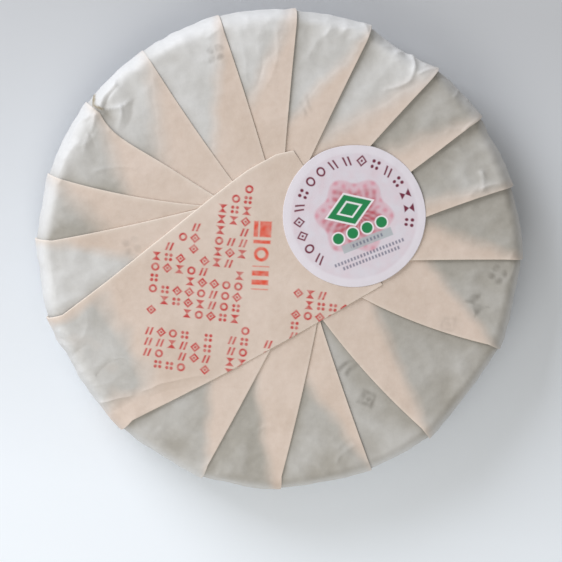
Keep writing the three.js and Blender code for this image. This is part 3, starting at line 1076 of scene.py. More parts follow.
    def rolled_edge(self, fold: Fold, fade: Array, wide: Array) -> tuple[Array, Array, Array]:
        """A fold's edge, turned under in a half circle and run back a little way below itself.

        Args:
            fold: the fold, whose roll is the half circle's radius.
            fade: what is left of the folds on each row.
            wide: each row's width in mm.

        Returns:
            The roll as a share of the width, and from the outermost point of the roll how far back
            and how far down each vertex lies, as a share of the width and in mm.
        """
        roll = (fold.roll * fade / wide)[:, None]
        under = (self.turn_under * fade / wide)[:, None]
        depth = fold.roll * fade[:, None]
        angle = np.linspace(0, math.pi, self.turn_columns)[None, 1:]
        back = under * np.linspace(0, 1, self.under_columns)[None, 1:]
        inwards = np.concatenate([roll - roll * np.sin(angle), roll + back], axis=1)
        drop = np.concatenate([depth * (1 - np.cos(angle)), 2 * depth + 0 * back], axis=1)
        return roll, inwards, drop

    def columns_and_lifts(self, out: Array, fade: Array, wide: Array) -> tuple[Array, Array]:
        """The across values and lifts of all the vertices.

        From the edge that lies low the sheet rises by a power of a straight line to its fold, where
        it turns under. A sheet that lies under both of its neighbours is level.

        Args:
            out: each row's share of the way out.
            fade: what is left of the folds on each row, 1 on the back and side, little at the hem.
            wide: each row's width in mm.

        Returns:
            Across from the low edge, and lifts in mm, both as rows by columns.
        """
        tuck = (self.tuck * fade / wide)[:, None]
        low = (self.low_lift * fade)[:, None]
        share = np.linspace(0, 1, self.columns)[None, :] ** 0.9
        if self.on_top is OnTop.NEITHER:
            flat = mix(-tuck, 1 + tuck, share)
            return flat, low + 0 * flat
        roll, inwards, drop = self.rolled_edge(self.top_fold, fade, wide)
        high = self.fold_stand(out, fade)[:, None]
        main = mix(-tuck, 1 - roll, share)
        main_lift = mix(low, high, np.clip(main, 0, 1) ** 0.85)
        return np.concatenate([main, 1 - inwards], axis=1), np.concatenate([main_lift, high - drop], axis=1)

    def grid(self) -> SheetGrid:
        """Places all the vertices on the smooth cake, with the folds fading away towards the hem.

        Returns:
            The sheet's grid.
        """
        out_row, past_row = self.row_places()
        hem = np.clip((past_row - self.form.waist_run) / self.hem_run, 0, 1)
        fade = mix(1.0, self.hem_share, smooth(hem))
        wide = self.width(out_row, past_row)
        from_low, lift = self.columns_and_lifts(out_row, fade, wide)
        across = 1 - from_low if self.on_top is OnTop.FIRST else from_low
        out = np.broadcast_to(out_row[:, None], across.shape)
        past_rim = np.broadcast_to(past_row[:, None], across.shape)
        bearing, run = self.place(across, out, past_rim)
        base = self.form.skin(bearing, run, lift)
        return SheetGrid(across, from_low, past_rim, bearing, run, lift, wide[:, None], base)

    def ply_edge(self, points: Array) -> Array:
        """How far inside the many-layered part a point lies, in mm, negative outside it.

        The layers folded in under the fold on top end on a straight line, and the part is on the
        fold's side of it. A panel that lies under both neighbours has one layer only.

        Args:
            points: points of the sheet in mm.

        Returns:
            Signed distances from the line.
        """
        if self.first.plies is None:
            return np.full(points.shape[:-1], -30.0)
        ax, ay, bx, by = self.first.plies
        length = math.hypot(bx - ax, by - ay)
        left = ((bx - ax) * (points[..., 1] - ay) - (by - ay) * (points[..., 0] - ax)) / length
        return -left if self.on_top is OnTop.FIRST else left

    def layers(self, grid: SheetGrid) -> tuple[Array, Array]:
        """Where the paper is several layers thick, by the line where they end, moved by noise.

        Args:
            grid: the sheet's grid.

        Returns:
            Shares from 0 for one layer to 1 for several, and the step at their edge in mm.
        """
        inside = self.ply_edge(grid.base)
        inside += 2.2 * noise(grid.base, 10.0, 51) + 0.8 * noise(grid.base, 4.0, 52)
        return smooth(inside / self.first.soft + 0.5), self.ply_step * smooth(inside + 0.5)

    def give(self, grid: SheetGrid) -> Array:
        """How freely the paper takes its small shape: less where it lies low, under a neighbour."""
        return mix(0.35, 1.0, ramp(grid.lift, 0.0, 0.3))

    def worn(self, from_fold: Array, roll: float) -> Array:
        """How worn the paper is near a fold, with a painted highlight: e to the minus distance over about
        two rolls, weaker for a narrow roll.
        """
        return np.exp(-np.abs(from_fold) / (0.3 + 1.6 * roll)) * min(1.0, roll / 0.4)

    def worn_and_highlit_edges(self, grid: SheetGrid) -> Array:
        """How worn the paper is at its fold on top, with a painted highlight, from 0 to 1, and nowhere if
        it has none.
        """
        top = self.on_top is not OnTop.NEITHER
        return top * self.worn((1 - grid.from_low) * grid.wide, self.top_fold.roll)

    def pressed(self, grid: SheetGrid) -> Array:
        """How much darker the paper is drawn beside the neighbour's fold, 0 to 1: painted shade, stronger
        the higher that fold stands, and the tea where it presses the paper.
        """
        beside = np.maximum(grid.from_low * grid.wide, 0)
        # Painted shade: darker beside the neighbour's fold, the more so the higher it stands.
        return 0.45 * self.low_fold.stand * np.exp(-beside / self.fold_shade_reach)

    def ink(self, grid: SheetGrid) -> tuple[Array, Array]:
        """Linear colours and shares of what shows through the sheet."""
        return self.show_through.ink(grid.base)

    def piece(self, material: bpy.types.Material) -> bpy.types.Object:
        """Builds the sheet as a piece: its grid, lifted by the paper's small shape.

        Args:
            material: the wrapper's paper.

        Returns:
            The new object.
        """
        grid = self.grid()
        plies, step = self.layers(grid)
        small = self.relief.height(grid.base, grid.bearing, grid.run, plies) + step
        points = self.form.skin(grid.bearing, grid.run, grid.lift + small * self.give(grid))
        # The painted shade beside the neighbour's fold is added to the tea's share here.
        tea_and_painted_light = self.relief.tea_and_painted_light(grid.base, grid.run, small, self.first.tea) + self.pressed(grid)
        colour, inked = self.ink(grid)
        values = {
            "plies": plies.ravel(),
            "edge": self.worn_and_highlit_edges(grid).ravel(),
            "tea_and_painted_light": tea_and_painted_light.ravel(),
            "ink": colour.reshape(-1, 4),
            "inked": inked.ravel(),
        }
        faces = grid_faces(*grid.run.shape)
        if self.on_top is OnTop.FIRST:
            faces = faces[:, ::-1]
        uv = np.stack([grid.from_low * grid.wide, grid.run], axis=-1).reshape(-1, 2)
        return build_piece(self.name, points.reshape(-1, 3), faces.tolist(), material, values, uv, WRAPPER)


# The flap

@dataclass
class Flap(WrapperSheet):
    """The broad flap that closes the wrapper, over the inner ends of all the pleats.

    Its edges are both folds, so both are rolled. It carries the print, and its rows are close
    enough to draw it. Towards the rim it is one layer, between its two edges.

    Attributes:
        print_columns: the columns of small marks.
        date_blocks: the stamp beside them.
        side_columns: vertices across, between the rolled edges.
        upper_bulge: how far the upper edge stands out, in mm, at shares of the way out.
        patch_runs: between which the one-layer patch sets in, in mm.
        patch_lower: shares across between which it sets in from the lower edge.
        patch_upper: shares across between which it sets in from the upper edge.
    """

    inner_reach: float = 0.0
    rows: tuple[int, int, int] = (330, 34, 22)
    print_columns: PrintColumns = field(default_factory=PrintColumns)
    date_blocks: DateBlocks = field(default_factory=DateBlocks)
    side_columns: int = 190
    upper_bulge: tuple[tuple[float, float], ...] = (
        (0.0, 0.0), (0.058, 3.2), (0.17, 4.8), (0.237, 4.7),
        (0.362, 4.0), (0.45, 3.3), (0.8, 0.8), (1.0, 0.0),
    )
    patch_runs: tuple[float, float] = (75.0, 89.0)
    patch_lower: tuple[float, float] = (0.10, 0.30)
    patch_upper: tuple[float, float] = (1.0, 0.88)

    def plan(self, across: Array, out: Array) -> Array:
        """Where a point lies: as in any sheet, but the upper edge bulges by its own table.

        Args:
            across: 0 at the lower edge, 1 at the upper one.
            out: 0 at the inner end, 1 at the rim of the flat back.

        Returns:
            Points seen from above, in mm.
        """
        places = np.array(self.upper_bulge)
        bulge = np.interp(out, places[:, 0], places[:, 1]) * across
        first, last = np.array(self.last.inner), polar(self.form.face_radius, self.last.bearing)
        way = (last - first) / np.linalg.norm(last - first)
        return super().plan(across, out) + bulge[..., None] * np.array([way[1], -way[0]])

    def columns_and_lifts(self, out: Array, fade: Array, wide: Array) -> tuple[Array, Array]:
        """A level sheet whose two side edges both turn under in a half circle.

        Args:
            out: each row's share of the way out, which is not used here.
            fade: what is left of the folds on each row.
            wide: each row's width in mm.

        Returns:
            Across from the lower edge, and lifts in mm, both as rows by columns.
        """
        high = (self.first.stand * fade)[:, None]
        roll_low, inwards_low, drop_low = self.rolled_edge(self.first, fade, wide)
        roll_up, inwards_up, drop_up = self.rolled_edge(self.last, fade, wide)
        main = mix(roll_low, 1 - roll_up, np.linspace(0, 1, self.side_columns)[None, :])
        across = np.concatenate([inwards_low[:, ::-1], main, 1 - inwards_up], axis=1)
        return across, high - np.concatenate([drop_low[:, ::-1], 0 * main, drop_up], axis=1)

    def layers(self, grid: SheetGrid) -> tuple[Array, Array]:
        """One layer in a cloudy patch towards the rim, and several elsewhere, with no step.

        Args:
            grid: the flap's grid.

        Returns:
            Shares from 0 for one layer to 1 for several, and the step in mm.
        """
        patch = ramp(grid.run + 9 * noise(grid.base, 13.0, 61), *self.patch_runs)
        patch *= ramp(grid.across, *self.patch_lower) * ramp(grid.across, *self.patch_upper)
        plies = np.clip(1 - patch * (1.08 + 0.55 * noise(grid.base, 9.0, 62)), 0, 1)
        return plies, np.zeros_like(plies)

    def give(self, grid: SheetGrid) -> Array:
        """How freely the paper takes its small shape: fully, because nothing lies over it."""
        return np.ones_like(grid.lift)

    def worn_and_highlit_edges(self, grid: SheetGrid) -> Array:
        """How worn the paper is at its two rolled edges, with a painted highlight, from 0 to 1."""
        lower = self.worn(grid.across * grid.wide, self.first.roll)
        return np.maximum(lower, self.worn((1 - grid.across) * grid.wide, self.last.roll))

    def pressed(self, grid: SheetGrid) -> Array:
        """How much darker the paper is drawn beside a neighbour's fold, as painted shade and pressed tea:
        not at all.
        """
        return np.zeros_like(grid.lift)

    def ink(self, grid: SheetGrid) -> tuple[Array, Array]:
        """The flap's print, on the back alone: marks and blocks, a little worn in places.

        Args:
            grid: the flap's grid.

        Returns:
            Linear colours with an alpha of 1, and shares of ink from 0 to 1.
        """
        plan = polar(grid.run, grid.bearing)
        marks = self.print_columns.ink(plan)
        blocks = self.date_blocks.ink(plan)
        worn = np.clip(0.86 + 0.5 * noise(grid.base, 2.2, 63), 0, 1)
        red, orange = np.array(linear(self.print_columns.colour)), np.array(linear(self.date_blocks.colour))
        colour = np.where((blocks > marks)[..., None], orange, red)
        return colour, np.maximum(marks, blocks) * worn * (grid.past_rim == 0)


# The front

@dataclass
class FrontSheet:
    """The smooth domed front, which the cake lies on, as rings that close on the middle.

    Attributes:
        name: the piece's name.
        form: the cake's form.
        relief: the paper's small shape.
        start_run: the run at the hem of the sheets above, in mm.
        overlap: how far it runs on under their hem, in mm.
        inner_radius: of the last ring round the middle, in mm.
        lift: over the cake, in mm.
        tea: how strongly the tea shows through.
        rest_runs: how far before the flat spot the small shape has ended and is still full, in mm.
        columns: vertices round a ring.
        rings: number of rings.
    """

    name: str
    form: CakeForm
    relief: PaperRelief
    start_run: float
    overlap: float = 1.5
    inner_radius: float = 2.0
    lift: float = 0.03
    tea: float = 0.6
    rest_runs: tuple[float, float] = (6.0, 22.0)
    columns: int = 420
    rings: int = 62

    def piece(self, material: bpy.types.Material) -> bpy.types.Object:
        """Builds the front: rings at even runs, and one vertex in the middle.

        The small shape fades out towards the flat spot, and nothing goes below the floor.

        Args:
            material: the wrapper's paper.

        Returns:
            The new object.
        """
        form = self.form
        spot_run = form.waist_run + form.under_run
        last_run = spot_run + form.spot_radius - self.inner_radius
        runs = np.linspace(self.start_run - self.overlap, last_run, self.rings)
        bearings = -np.arange(self.columns) * 360 / self.columns
        run, bearing = np.meshgrid(runs, bearings, indexing="ij")
        base = form.skin(bearing, run, np.zeros_like(run))
        small = self.relief.height(base, bearing, run, np.zeros_like(run))
        resting = ramp(run, spot_run - self.rest_runs[0], spot_run - self.rest_runs[1])
        points = form.skin(bearing, run, self.lift + small * resting)
        points[..., 2] = np.maximum(points[..., 2], 0.0)
        count = run.size
        ring = np.arange(self.columns) + count - self.columns
        cap = np.stack([ring, np.roll(ring, -1), np.full(self.columns, count)], axis=-1)
        faces = grid_faces(self.rings, self.columns, closed=True).tolist() + cap.tolist()
        flat = np.concatenate([points.reshape(-1, 3), [[*form.middle, 0.0]]])
        # The tea's share here also carries painted light: the shoulder is drawn paler on the side that the
        # key light falls on.
        tea_and_painted_light = np.append(self.relief.tea_and_painted_light(base, run, small, self.tea).ravel(), self.tea)
        values = {"plies": np.zeros(count + 1), "edge": np.zeros(count + 1), "tea_and_painted_light": tea_and_painted_light}
        return build_piece(self.name, flat, faces, material, values, flat[:, :2], WRAPPER)


# The round label

# Colours with the share of each at every point, lowest first.
Layers = list[tuple[str, Array]]


@dataclass(frozen=True)
class LabelPrint:
    """What is printed on the round label: a mottled ground, a rosette, and plain shapes over them.

    Sizes are in mm and bearings in degrees, both from the label's middle. The diamond, the dots,
    the panel and the dashes stand on lines that are turned by the tilt.

    Attributes:
        tilt: how far those lines are turned to the left.
        ground: the label's lilac white.
        blush: the pink that mottles it.
        border: the paler band along the edge.
        dark_red: the ring of marks.
        pink: the rosette.
        red: the rosette's inner rings.
        green: the diamond and the dots.
        white: their outlines.
        grey: the panel.
        ink_blue: the dashes.
        border_radii: between which the band along the edge sets in.
        petal_radius: mean radius of the rosette's edge.
        lobe_radius: mean radius of its five inner lobes.
        core_radius: mean radius of its core.
        mark_radius: radius of the ring of marks.
        mark_pitch: turn from one mark to the next.
        first_bearing: bearing of the mark in the middle of the ring.
        marks_each_way: how many marks stand on each side of that one.
        mark_size: how many times as wide and as tall they are as the marks on the flap.
        diamond_middle: along its line and up.
        diamond_reach: half of the diamond's width.
        dot_level: how far up the row of dots is.
        dot_pitch: from one dot to the next.
        dot_radius: of a dot.
        panel_middle: along its line and up.
        panel_half: half of the panel's width and height.
        dash_rows: level, reach, middle, pitch and strength of each row of dashes.
    """

    tilt: float = 21.0
    ground: str = "#DCD7E0"
    blush: str = "#DDC7D0"
    border: str = "#E4DFE7"
    dark_red: str = "#70203A"
    pink: str = "#D68F9F"
    red: str = "#B23F4C"
    green: str = "#12834A"
    white: str = "#F1EEF2"
    grey: str = "#AEB7BB"
    ink_blue: str = "#5C6079"
    border_radii: tuple[float, float] = (28.0, 29.5)
    petal_radius: float = 16.4
    lobe_radius: float = 12.6
    core_radius: float = 9.5
    mark_radius: float = 25.2
    mark_pitch: float = 14.9
    first_bearing: float = 112.0
    marks_each_way: int = 8
    mark_size: tuple[float, float] = (1.3, 1.45)
    diamond_middle: tuple[float, float] = (-1.0, 3.5)
    diamond_reach: float = 10.8
    dot_level: float = -7.2
    dot_pitch: float = 7.0
    dot_radius: float = 2.5
    panel_middle: tuple[float, float] = (1.5, -12.6)
    panel_half: tuple[float, float] = (12.0, 1.9)
    dash_rows: tuple[tuple[float, float, float, float, float], ...] = (
        (-12.6, 8.0, 1.5, 1.70, 0.70), (-18.2, 17.0, 0.5, 1.55, 0.75), (-20.8, 14.0, 0.5, 1.55, 0.75),
    )

    def ground_layers(self, x: Array, y: Array) -> Layers:
        """Two sizes of noise for the blush, and a band along the edge.

        Args:
            x: distance right of the middle in mm.
            y: distance above it in mm.

        Returns:
            Colours with the share of each at every point, lowest first.
        """
        plan = np.stack([x, y], axis=-1)
        mottle = np.clip(0.45 + noise(plan, 6.0, 81) + 0.6 * noise(plan, 2.6, 82), 0, 1)
        border = ramp(np.hypot(x, y), *self.border_radii) * 0.85
        return [(self.blush, 0.55 * mottle), (self.border, border)]

    def rosette_layers(self, radius: Array, bearing: Array) -> Layers:
        """Three closed waves, whose radii swing with 6, 5 and 8 cosines to a turn.

        They are filled with fine lines, the cosine of 18 turns and the radius, one way and the other.

        Args:
            radius: distance from the middle in mm.
            bearing: in degrees.

        Returns:
            Colours with the share of each at every point, lowest first.
        """
        lines = 0.5 + 0.5 * np.cos(np.radians(18 * bearing) + radius * 1.1)
        weave = 0.5 + 0.5 * np.cos(np.radians(-18 * bearing) + radius * 1.1)
        petals = covered(radius - self.petal_radius - 1.7 * np.cos(np.radians(6 * bearing)), 1.2)
        lobes = covered(radius - self.lobe_radius - 2.2 * np.cos(np.radians(5 * (bearing - 54))), 1.6)
        core = covered(radius - self.core_radius - 1.6 * np.cos(np.radians(8 * bearing)), 2.5)
        return [
            (self.pink, petals * (0.42 + 0.46 * lines * weave)),
            (self.red, lobes * (0.18 + 0.30 * weave)),
            (self.red, core * (0.25 + 0.45 * lines)),
        ]

    def mark_layers(self, radius: Array, bearing: Array) -> Layers:
        """The ring of marks: each point takes the mark of the nearest place on the ring.

        Args:
            radius: distance from the middle in mm.
            bearing: in degrees.

        Returns:
            The marks' colour with its share at every point.
        """
        turned = (bearing - self.first_bearing + 180) % 360 - 180
        place = np.round(turned / self.mark_pitch)
        across = np.radians(turned - place * self.mark_pitch) * self.mark_radius
        kind = (lattice_hash([place, place * 0], 19) % np.uint64(5)).astype(int)
        wide, tall = self.mark_size
        shape = mark_distance(across / wide, (radius - self.mark_radius) / tall, kind) * wide
        return [(self.dark_red, covered(shape + 0.14) * (np.abs(place) <= self.marks_each_way))]

    def diamond_layers(self, along: Array, up: Array) -> Layers:
        """A white diamond, a green one inside it and a thin white one inside that.

        A diamond's distance is that along the line and one and a half times that up, less its reach.

        Args:
            along: distance along the tilted line in mm.
            up: distance up from it in mm.

        Returns:
            Colours with the share of each at every point, lowest first.
        """
        middle, level = self.diamond_middle
        away = np.abs(along - middle) + 1.5 * np.abs(up - level)
        return [
            (self.white, covered((away - self.diamond_reach - 1.4) * 0.6)),
            (self.green, covered((away - self.diamond_reach) * 0.6)),
            (self.white, covered((np.abs(away - 5.6) - 0.7) * 0.6)),
        ]

    def row_layers(self, along: Array, up: Array) -> Layers:
        """Four outlined dots, a panel with dashes on it, and two rows of dashes under it.

        A row repeats by the remainder of the distance along it.

        Args:
            along: distance along the tilted line in mm.
            up: distance up from it in mm.

        Returns:
            Colours with the share of each at every point, lowest first.
        """
        half = 2 * self.dot_pitch
        away = np.hypot((along + half) % self.dot_pitch - self.dot_pitch / 2, up - self.dot_level)
        row = (np.abs(along) < half) & (np.abs(up - self.dot_level) < self.dot_radius + 0.7)
        panel = box_distance(along - self.panel_middle[0], up - self.panel_middle[1], *self.panel_half)
        layers = [
            (self.white, covered(away - self.dot_radius - 0.6) * row),
            (self.green, covered(away - self.dot_radius) * row),
            (self.grey, covered(panel) * 0.85),
        ]
        for level, reach, middle, pitch, strength in self.dash_rows:
            dash = box_distance((along + 40) % pitch - pitch / 2, up - level, 0.42, 0.75)
            layers.append((self.ink_blue, covered(dash) * (np.abs(along - middle) < reach) * strength))
        return layers

    def painted(self, x: Array, y: Array) -> Array:
        """The label's printed colours, laid one over another by their shares.

        Args:
            x: distance right of the middle in mm.
            y: distance above it in mm.

        Returns:
            Linear colours, one for each point.
        """
        turn = math.radians(self.tilt)
        along = x * math.cos(turn) + y * math.sin(turn)
        up = y * math.cos(turn) - x * math.sin(turn)
        radius, bearing = np.hypot(x, y), np.degrees(np.arctan2(y, x))
        layers = self.ground_layers(x, y) + self.rosette_layers(radius, bearing)
        layers += self.mark_layers(radius, bearing) + self.diamond_layers(along, up)
        layers += self.row_layers(along, up)
        colour = np.broadcast_to(np.array(linear(self.ground)), x.shape + (4,))
        for tone, share in layers:
            colour = mix(colour, np.array(linear(tone)), share[..., None])
        return colour


@dataclass
class RoundLabel:
    """The round label, a disc of coated paper pressed down over the flap and the pleats' ends.

    Attributes:
        form: the cake's form.
        relief: the paper's small shape, which shows weakly through the label.
        artwork: what is printed on it.
        middle: its middle, seen from above, in mm.
        radius: in mm.
        inner_radius: of the last ring round the middle, in mm.
        thickness: in mm.
        lift: of its underside over the cake, in mm.
        follows: how closely it follows the paper's small shape, 0 to 1.
        press: how far its edge is pressed down, in mm.
        press_reach: how far in from the edge that starts, in mm.
        columns: vertices round a ring.
        rings: number of rings.
    """

    form: CakeForm
    relief: PaperRelief
    artwork: LabelPrint = field(default_factory=LabelPrint)
    middle: tuple[float, float] = (33.6, 16.1)
    radius: float = 32.5
    inner_radius: float = 0.25
    thickness: float = 0.16
    lift: float = 1.34
    follows: float = 0.8
    press: float = 0.06
    press_reach: float = 2.5
    columns: int = 640
    rings: int = 112

    def surface(self, plan: Array, extra: float) -> Array:
        """The label over the cake: level, following the small shape weakly, pressed down at its edge.

        Args:
            plan: points seen from above, in mm.
            extra: lift over the label's underside, in mm.

        Returns:
            Points in mm.
        """
        bearing = np.degrees(np.arctan2(plan[..., 1], plan[..., 0]))
        run = np.hypot(plan[..., 0], plan[..., 1])
        base = self.form.skin(bearing, run, np.zeros_like(run))
        small = self.relief.height(base, bearing, run, np.ones_like(run))
        away = np.hypot(plan[..., 0] - self.middle[0], plan[..., 1] - self.middle[1])
        small = self.follows * small - self.press * ramp(away, self.radius - self.press_reach, self.radius)
        return self.form.skin(bearing, run, self.lift + extra + small)

    def piece(self, material: bpy.types.Material) -> bpy.types.Object:
        """Builds the label: rings of the printed top, a thin edge and a plain underside.

        Args:
            material: the label's paper.

        Returns:
            The new object.
        """
        middle = np.array([self.middle])
        radii = np.linspace(self.radius, self.inner_radius, self.rings)
        bearings = -np.arange(self.columns) * 360 / self.columns
        radius, bearing = np.meshgrid(radii, bearings, indexing="ij")
        # The cut edge wavers a little: the noise is read on a circle, so that it closes.
        radius = radius * (1 + 0.0012 * noise(polar(np.full_like(bearing, 9.0), bearing), 2.0, 91))
        flat = polar(radius, bearing)
        top = self.surface(flat + middle, self.thickness)
        low = self.surface(flat[:1] + middle, 0.0)
        ends = [self.surface(middle, self.thickness), self.surface(middle, 0.0)]
        points = np.concatenate([top[::-1].reshape(-1, 3), low[0], *ends])
        count = self.rings * self.columns
        inner = np.arange(self.columns)
        outer = count - self.columns + inner
        below = count + inner
        top_middle = np.full(self.columns, count + self.columns)
        cap = np.stack([np.roll(inner, -1), inner, top_middle], axis=-1)
        wall = np.stack([outer, np.roll(outer, -1), np.roll(below, -1), below], axis=-1)
        low_middle = top_middle + 1
        foot = np.stack([below, np.roll(below, -1), low_middle], axis=-1)
        faces = grid_faces(self.rings, self.columns, closed=True).tolist()
        faces += cap.tolist() + wall.tolist() + foot.tolist()
        place = np.concatenate([flat[::-1].reshape(-1, 2), flat[0], np.zeros((2, 2))])
        values = {"printed": self.artwork.painted(place[:, 0], place[:, 1])}
        return build_piece("printed_round_label", points, faces, material, values, place, LABEL)


# Finishes

def add_node(
    tree: bpy.types.NodeTree, kind: str, links: dict[str | int, object] | None = None, **settings: object
) -> bpy.types.Node:
    """Adds a node with its settings and links.

    Args:
        tree: the material's node tree.
        kind: Blender's name for the node.
        links: input name or number to the socket that feeds it, or to a plain value.
        settings: the node's own properties.

    Returns:
        The new node.
    """
    node = tree.nodes.new(kind)
    for key, value in settings.items():
        setattr(node, key, value)
    for key, value in (links or {}).items():
        if isinstance(value, bpy.types.NodeSocket):
            tree.links.new(value, node.inputs[key])
        else:
            node.inputs[key].default_value = value
    return node


def per_metre(size_mm: float) -> float:
    """A noise texture's scale for bumps of a size in mm."""
    return 1 / (size_mm * MM)


def new_tree(name: str) -> tuple[bpy.types.Material, bpy.types.NodeTree, bpy.types.Node]:
    """Makes a bare material.

    Args:
        name: the material's name.

    Returns:
        The material, its tree and its shader.
    """
    material = bpy.data.materials.new(name)
    material.use_nodes = True
    tree = material.node_tree
    tree.nodes.clear()
    shader = add_node(tree, "ShaderNodeBsdfPrincipled")
    add_node(tree, "ShaderNodeOutputMaterial", {"Surface": shader.outputs[0]})
    return material, tree, shader


@dataclass(frozen=True)
class CottonPaper:
    """Handmade cotton paper, pressed thin and calendered.

    To the eye it is matt and soft, with a faint satin gloss from the rollers. One layer lets the
    dark tea show through as a cool grey, darkest where it touches the tea; that grey also carries
    painted shade beside the folds, and it is drawn paler on the shoulder that the key light falls
    on, which is painted light. Several layers are opaque and tan, and a fold is paler along its
    edge, where it is worn and where a painted highlight lies on the rolled edges facing the key light.

    Attributes:
        layered: several layers, where they are cleanest.
        layered_dark: several layers, where the tea has stained them.
        single: one layer that stands off the tea.
        single_dark: one layer that touches it, which also stands for the painted shade beside the folds.
        worn_edge_and_highlight: the paler fibre along a fold, which is also a painted highlight on the
            rolled edges that face the key light.
        worn_and_highlight_share: how strongly that shows.
        grain_share: how strongly the flecks show in the colour.
        roughness: of the calendered face.
        specular: of the calendered face.
        sheen: of the loose fibres.
        stain_size: width of the slow stains, in mm.
        fleck_size: width of the bark flecks, in mm.
        fibre_size: width of the fibres' bumps, in mm, drawn coarser than real to show at all.
        relief: height of the fibres' bumps, in mm.
    """

    layered: str = "#DBCABE"
    layered_dark: str = "#D1BFB1"
    single: str = "#DCDCDC"
    single_dark: str = "#A8A49C"
    worn_edge_and_highlight: str = "#F0E7DC"
    worn_and_highlight_share: float = 0.55
    grain_share: float = 0.20
    roughness: float = 0.62
    specular: float = 0.42
    sheen: float = 0.06
    stain_size: float = 32.0
    fleck_size: float = 2.6
    fibre_size: float = 0.9
    relief: float = 0.10

    def material(self) -> bpy.types.Material:
        """Makes the finish: colour by layers, stains, flecks, worn folds and ink, with fibre bumps.

        Returns:
            The material.
        """
        material, tree, shader = new_tree("calendered_cotton_paper")
        place = add_node(tree, "ShaderNodeTexCoord").outputs["Object"]
        read = {
            name: add_node(tree, "ShaderNodeAttribute", attribute_name=name).outputs
            for name in ("plies", "edge", "ink", "inked", "tea_and_painted_light")
        }
        patterns = []
        for size, detail in ((self.stain_size, 4.0), (self.fleck_size, 5.0), (self.fibre_size, 3.0)):
            settings = {"Vector": place, "Scale": per_metre(size), "Detail": detail, "Roughness": 0.6}
            patterns.append(add_node(tree, "ShaderNodeTexNoise", settings).outputs["Fac"])
        stain, fleck, fibre = patterns
        stained = add_node(
            tree, "ShaderNodeMapRange", {"Value": stain, "From Min": 0.35, "From Max": 0.65}
        ).outputs[0]
        grain = add_node(tree, "ShaderNodeCombineColor", {0: fleck, 1: fleck, 2: fleck}).outputs[0]
        # Paler along the folds: wear, and a painted highlight on the wide rolled edges that face the key
        # light.
        worn = add_node(
            tree, "ShaderNodeMath", {0: read["edge"]["Fac"], 1: self.worn_and_highlight_share}, operation="MULTIPLY"
        ).outputs[0]
        thick = add_node(
            tree, "ShaderNodeMix", {0: stained, 6: linear(self.layered), 7: linear(self.layered_dark)},
            data_type="RGBA",
        ).outputs[2]
        colour = linear(self.single)
        # The single layer darkens by the tea's share, which also carries painted light: paler on the lit
        # shoulder, and painted shade beside the folds.
        for share, tone, kind in (
            (read["tea_and_painted_light"]["Fac"], linear(self.single_dark), "MIX"),
            (read["plies"]["Fac"], thick, "MIX"),
            (self.grain_share, grain, "SOFT_LIGHT"),
            (worn, linear(self.worn_edge_and_highlight), "MIX"),
            (read["inked"]["Fac"], read["ink"]["Color"], "MIX"),
        ):
            colour = add_node(
                tree, "ShaderNodeMix", {0: share, 6: colour, 7: tone}, data_type="RGBA", blend_type=kind
            ).outputs[2]
        tree.links.new(colour, shader.inputs["Base Color"])
        shader.inputs["Roughness"].default_value = self.roughness
        shader.inputs["Specular IOR Level"].default_value = self.specular
        shader.inputs["Sheen Weight"].default_value = self.sheen
        heights = add_node(tree, "ShaderNodeMath", {0: fibre, 1: fleck}, operation="ADD").outputs[0]
        bump = add_node(
            tree, "ShaderNodeBump", {"Height": heights, "Distance": self.relief * MM, "Strength": 0.55}
        )
        tree.links.new(bump.outputs[0], shader.inputs["Normal"])
        return material


@dataclass(frozen=True)
class CoatedLabel:
    """Self-adhesive label paper, machine coated and printed.

    To the eye it is smooth, with a soft gloss and clean bright colours.

    Attributes:
        roughness: of the coat.
        tooth_size: width of the coat's fine bumps, in mm, drawn coarser than real to show at all.
        tooth_height: of those bumps, in mm.
    """

    roughness: float = 0.46
    tooth_size: float = 0.6
    tooth_height: float = 0.03

    def material(self) -> bpy.types.Material:
        """Makes the finish: the printed colours with a very fine tooth.

        Returns:
            The material.
        """
        material, tree, shader = new_tree("coated_label_paper")
        place = add_node(tree, "ShaderNodeTexCoord").outputs["Object"]
        printed = add_node(tree, "ShaderNodeAttribute", attribute_name="printed").outputs["Color"]
        tooth = add_node(
            tree, "ShaderNodeTexNoise", {"Vector": place, "Scale": per_metre(self.tooth_size)}
        ).outputs["Fac"]
        tree.links.new(printed, shader.inputs["Base Color"])
        shader.inputs["Roughness"].default_value = self.roughness
        bump = add_node(
            tree, "ShaderNodeBump", {"Height": tooth, "Distance": self.tooth_height * MM, "Strength": 0.4}
        )
        tree.links.new(bump.outputs[0], shader.inputs["Normal"])
        return material


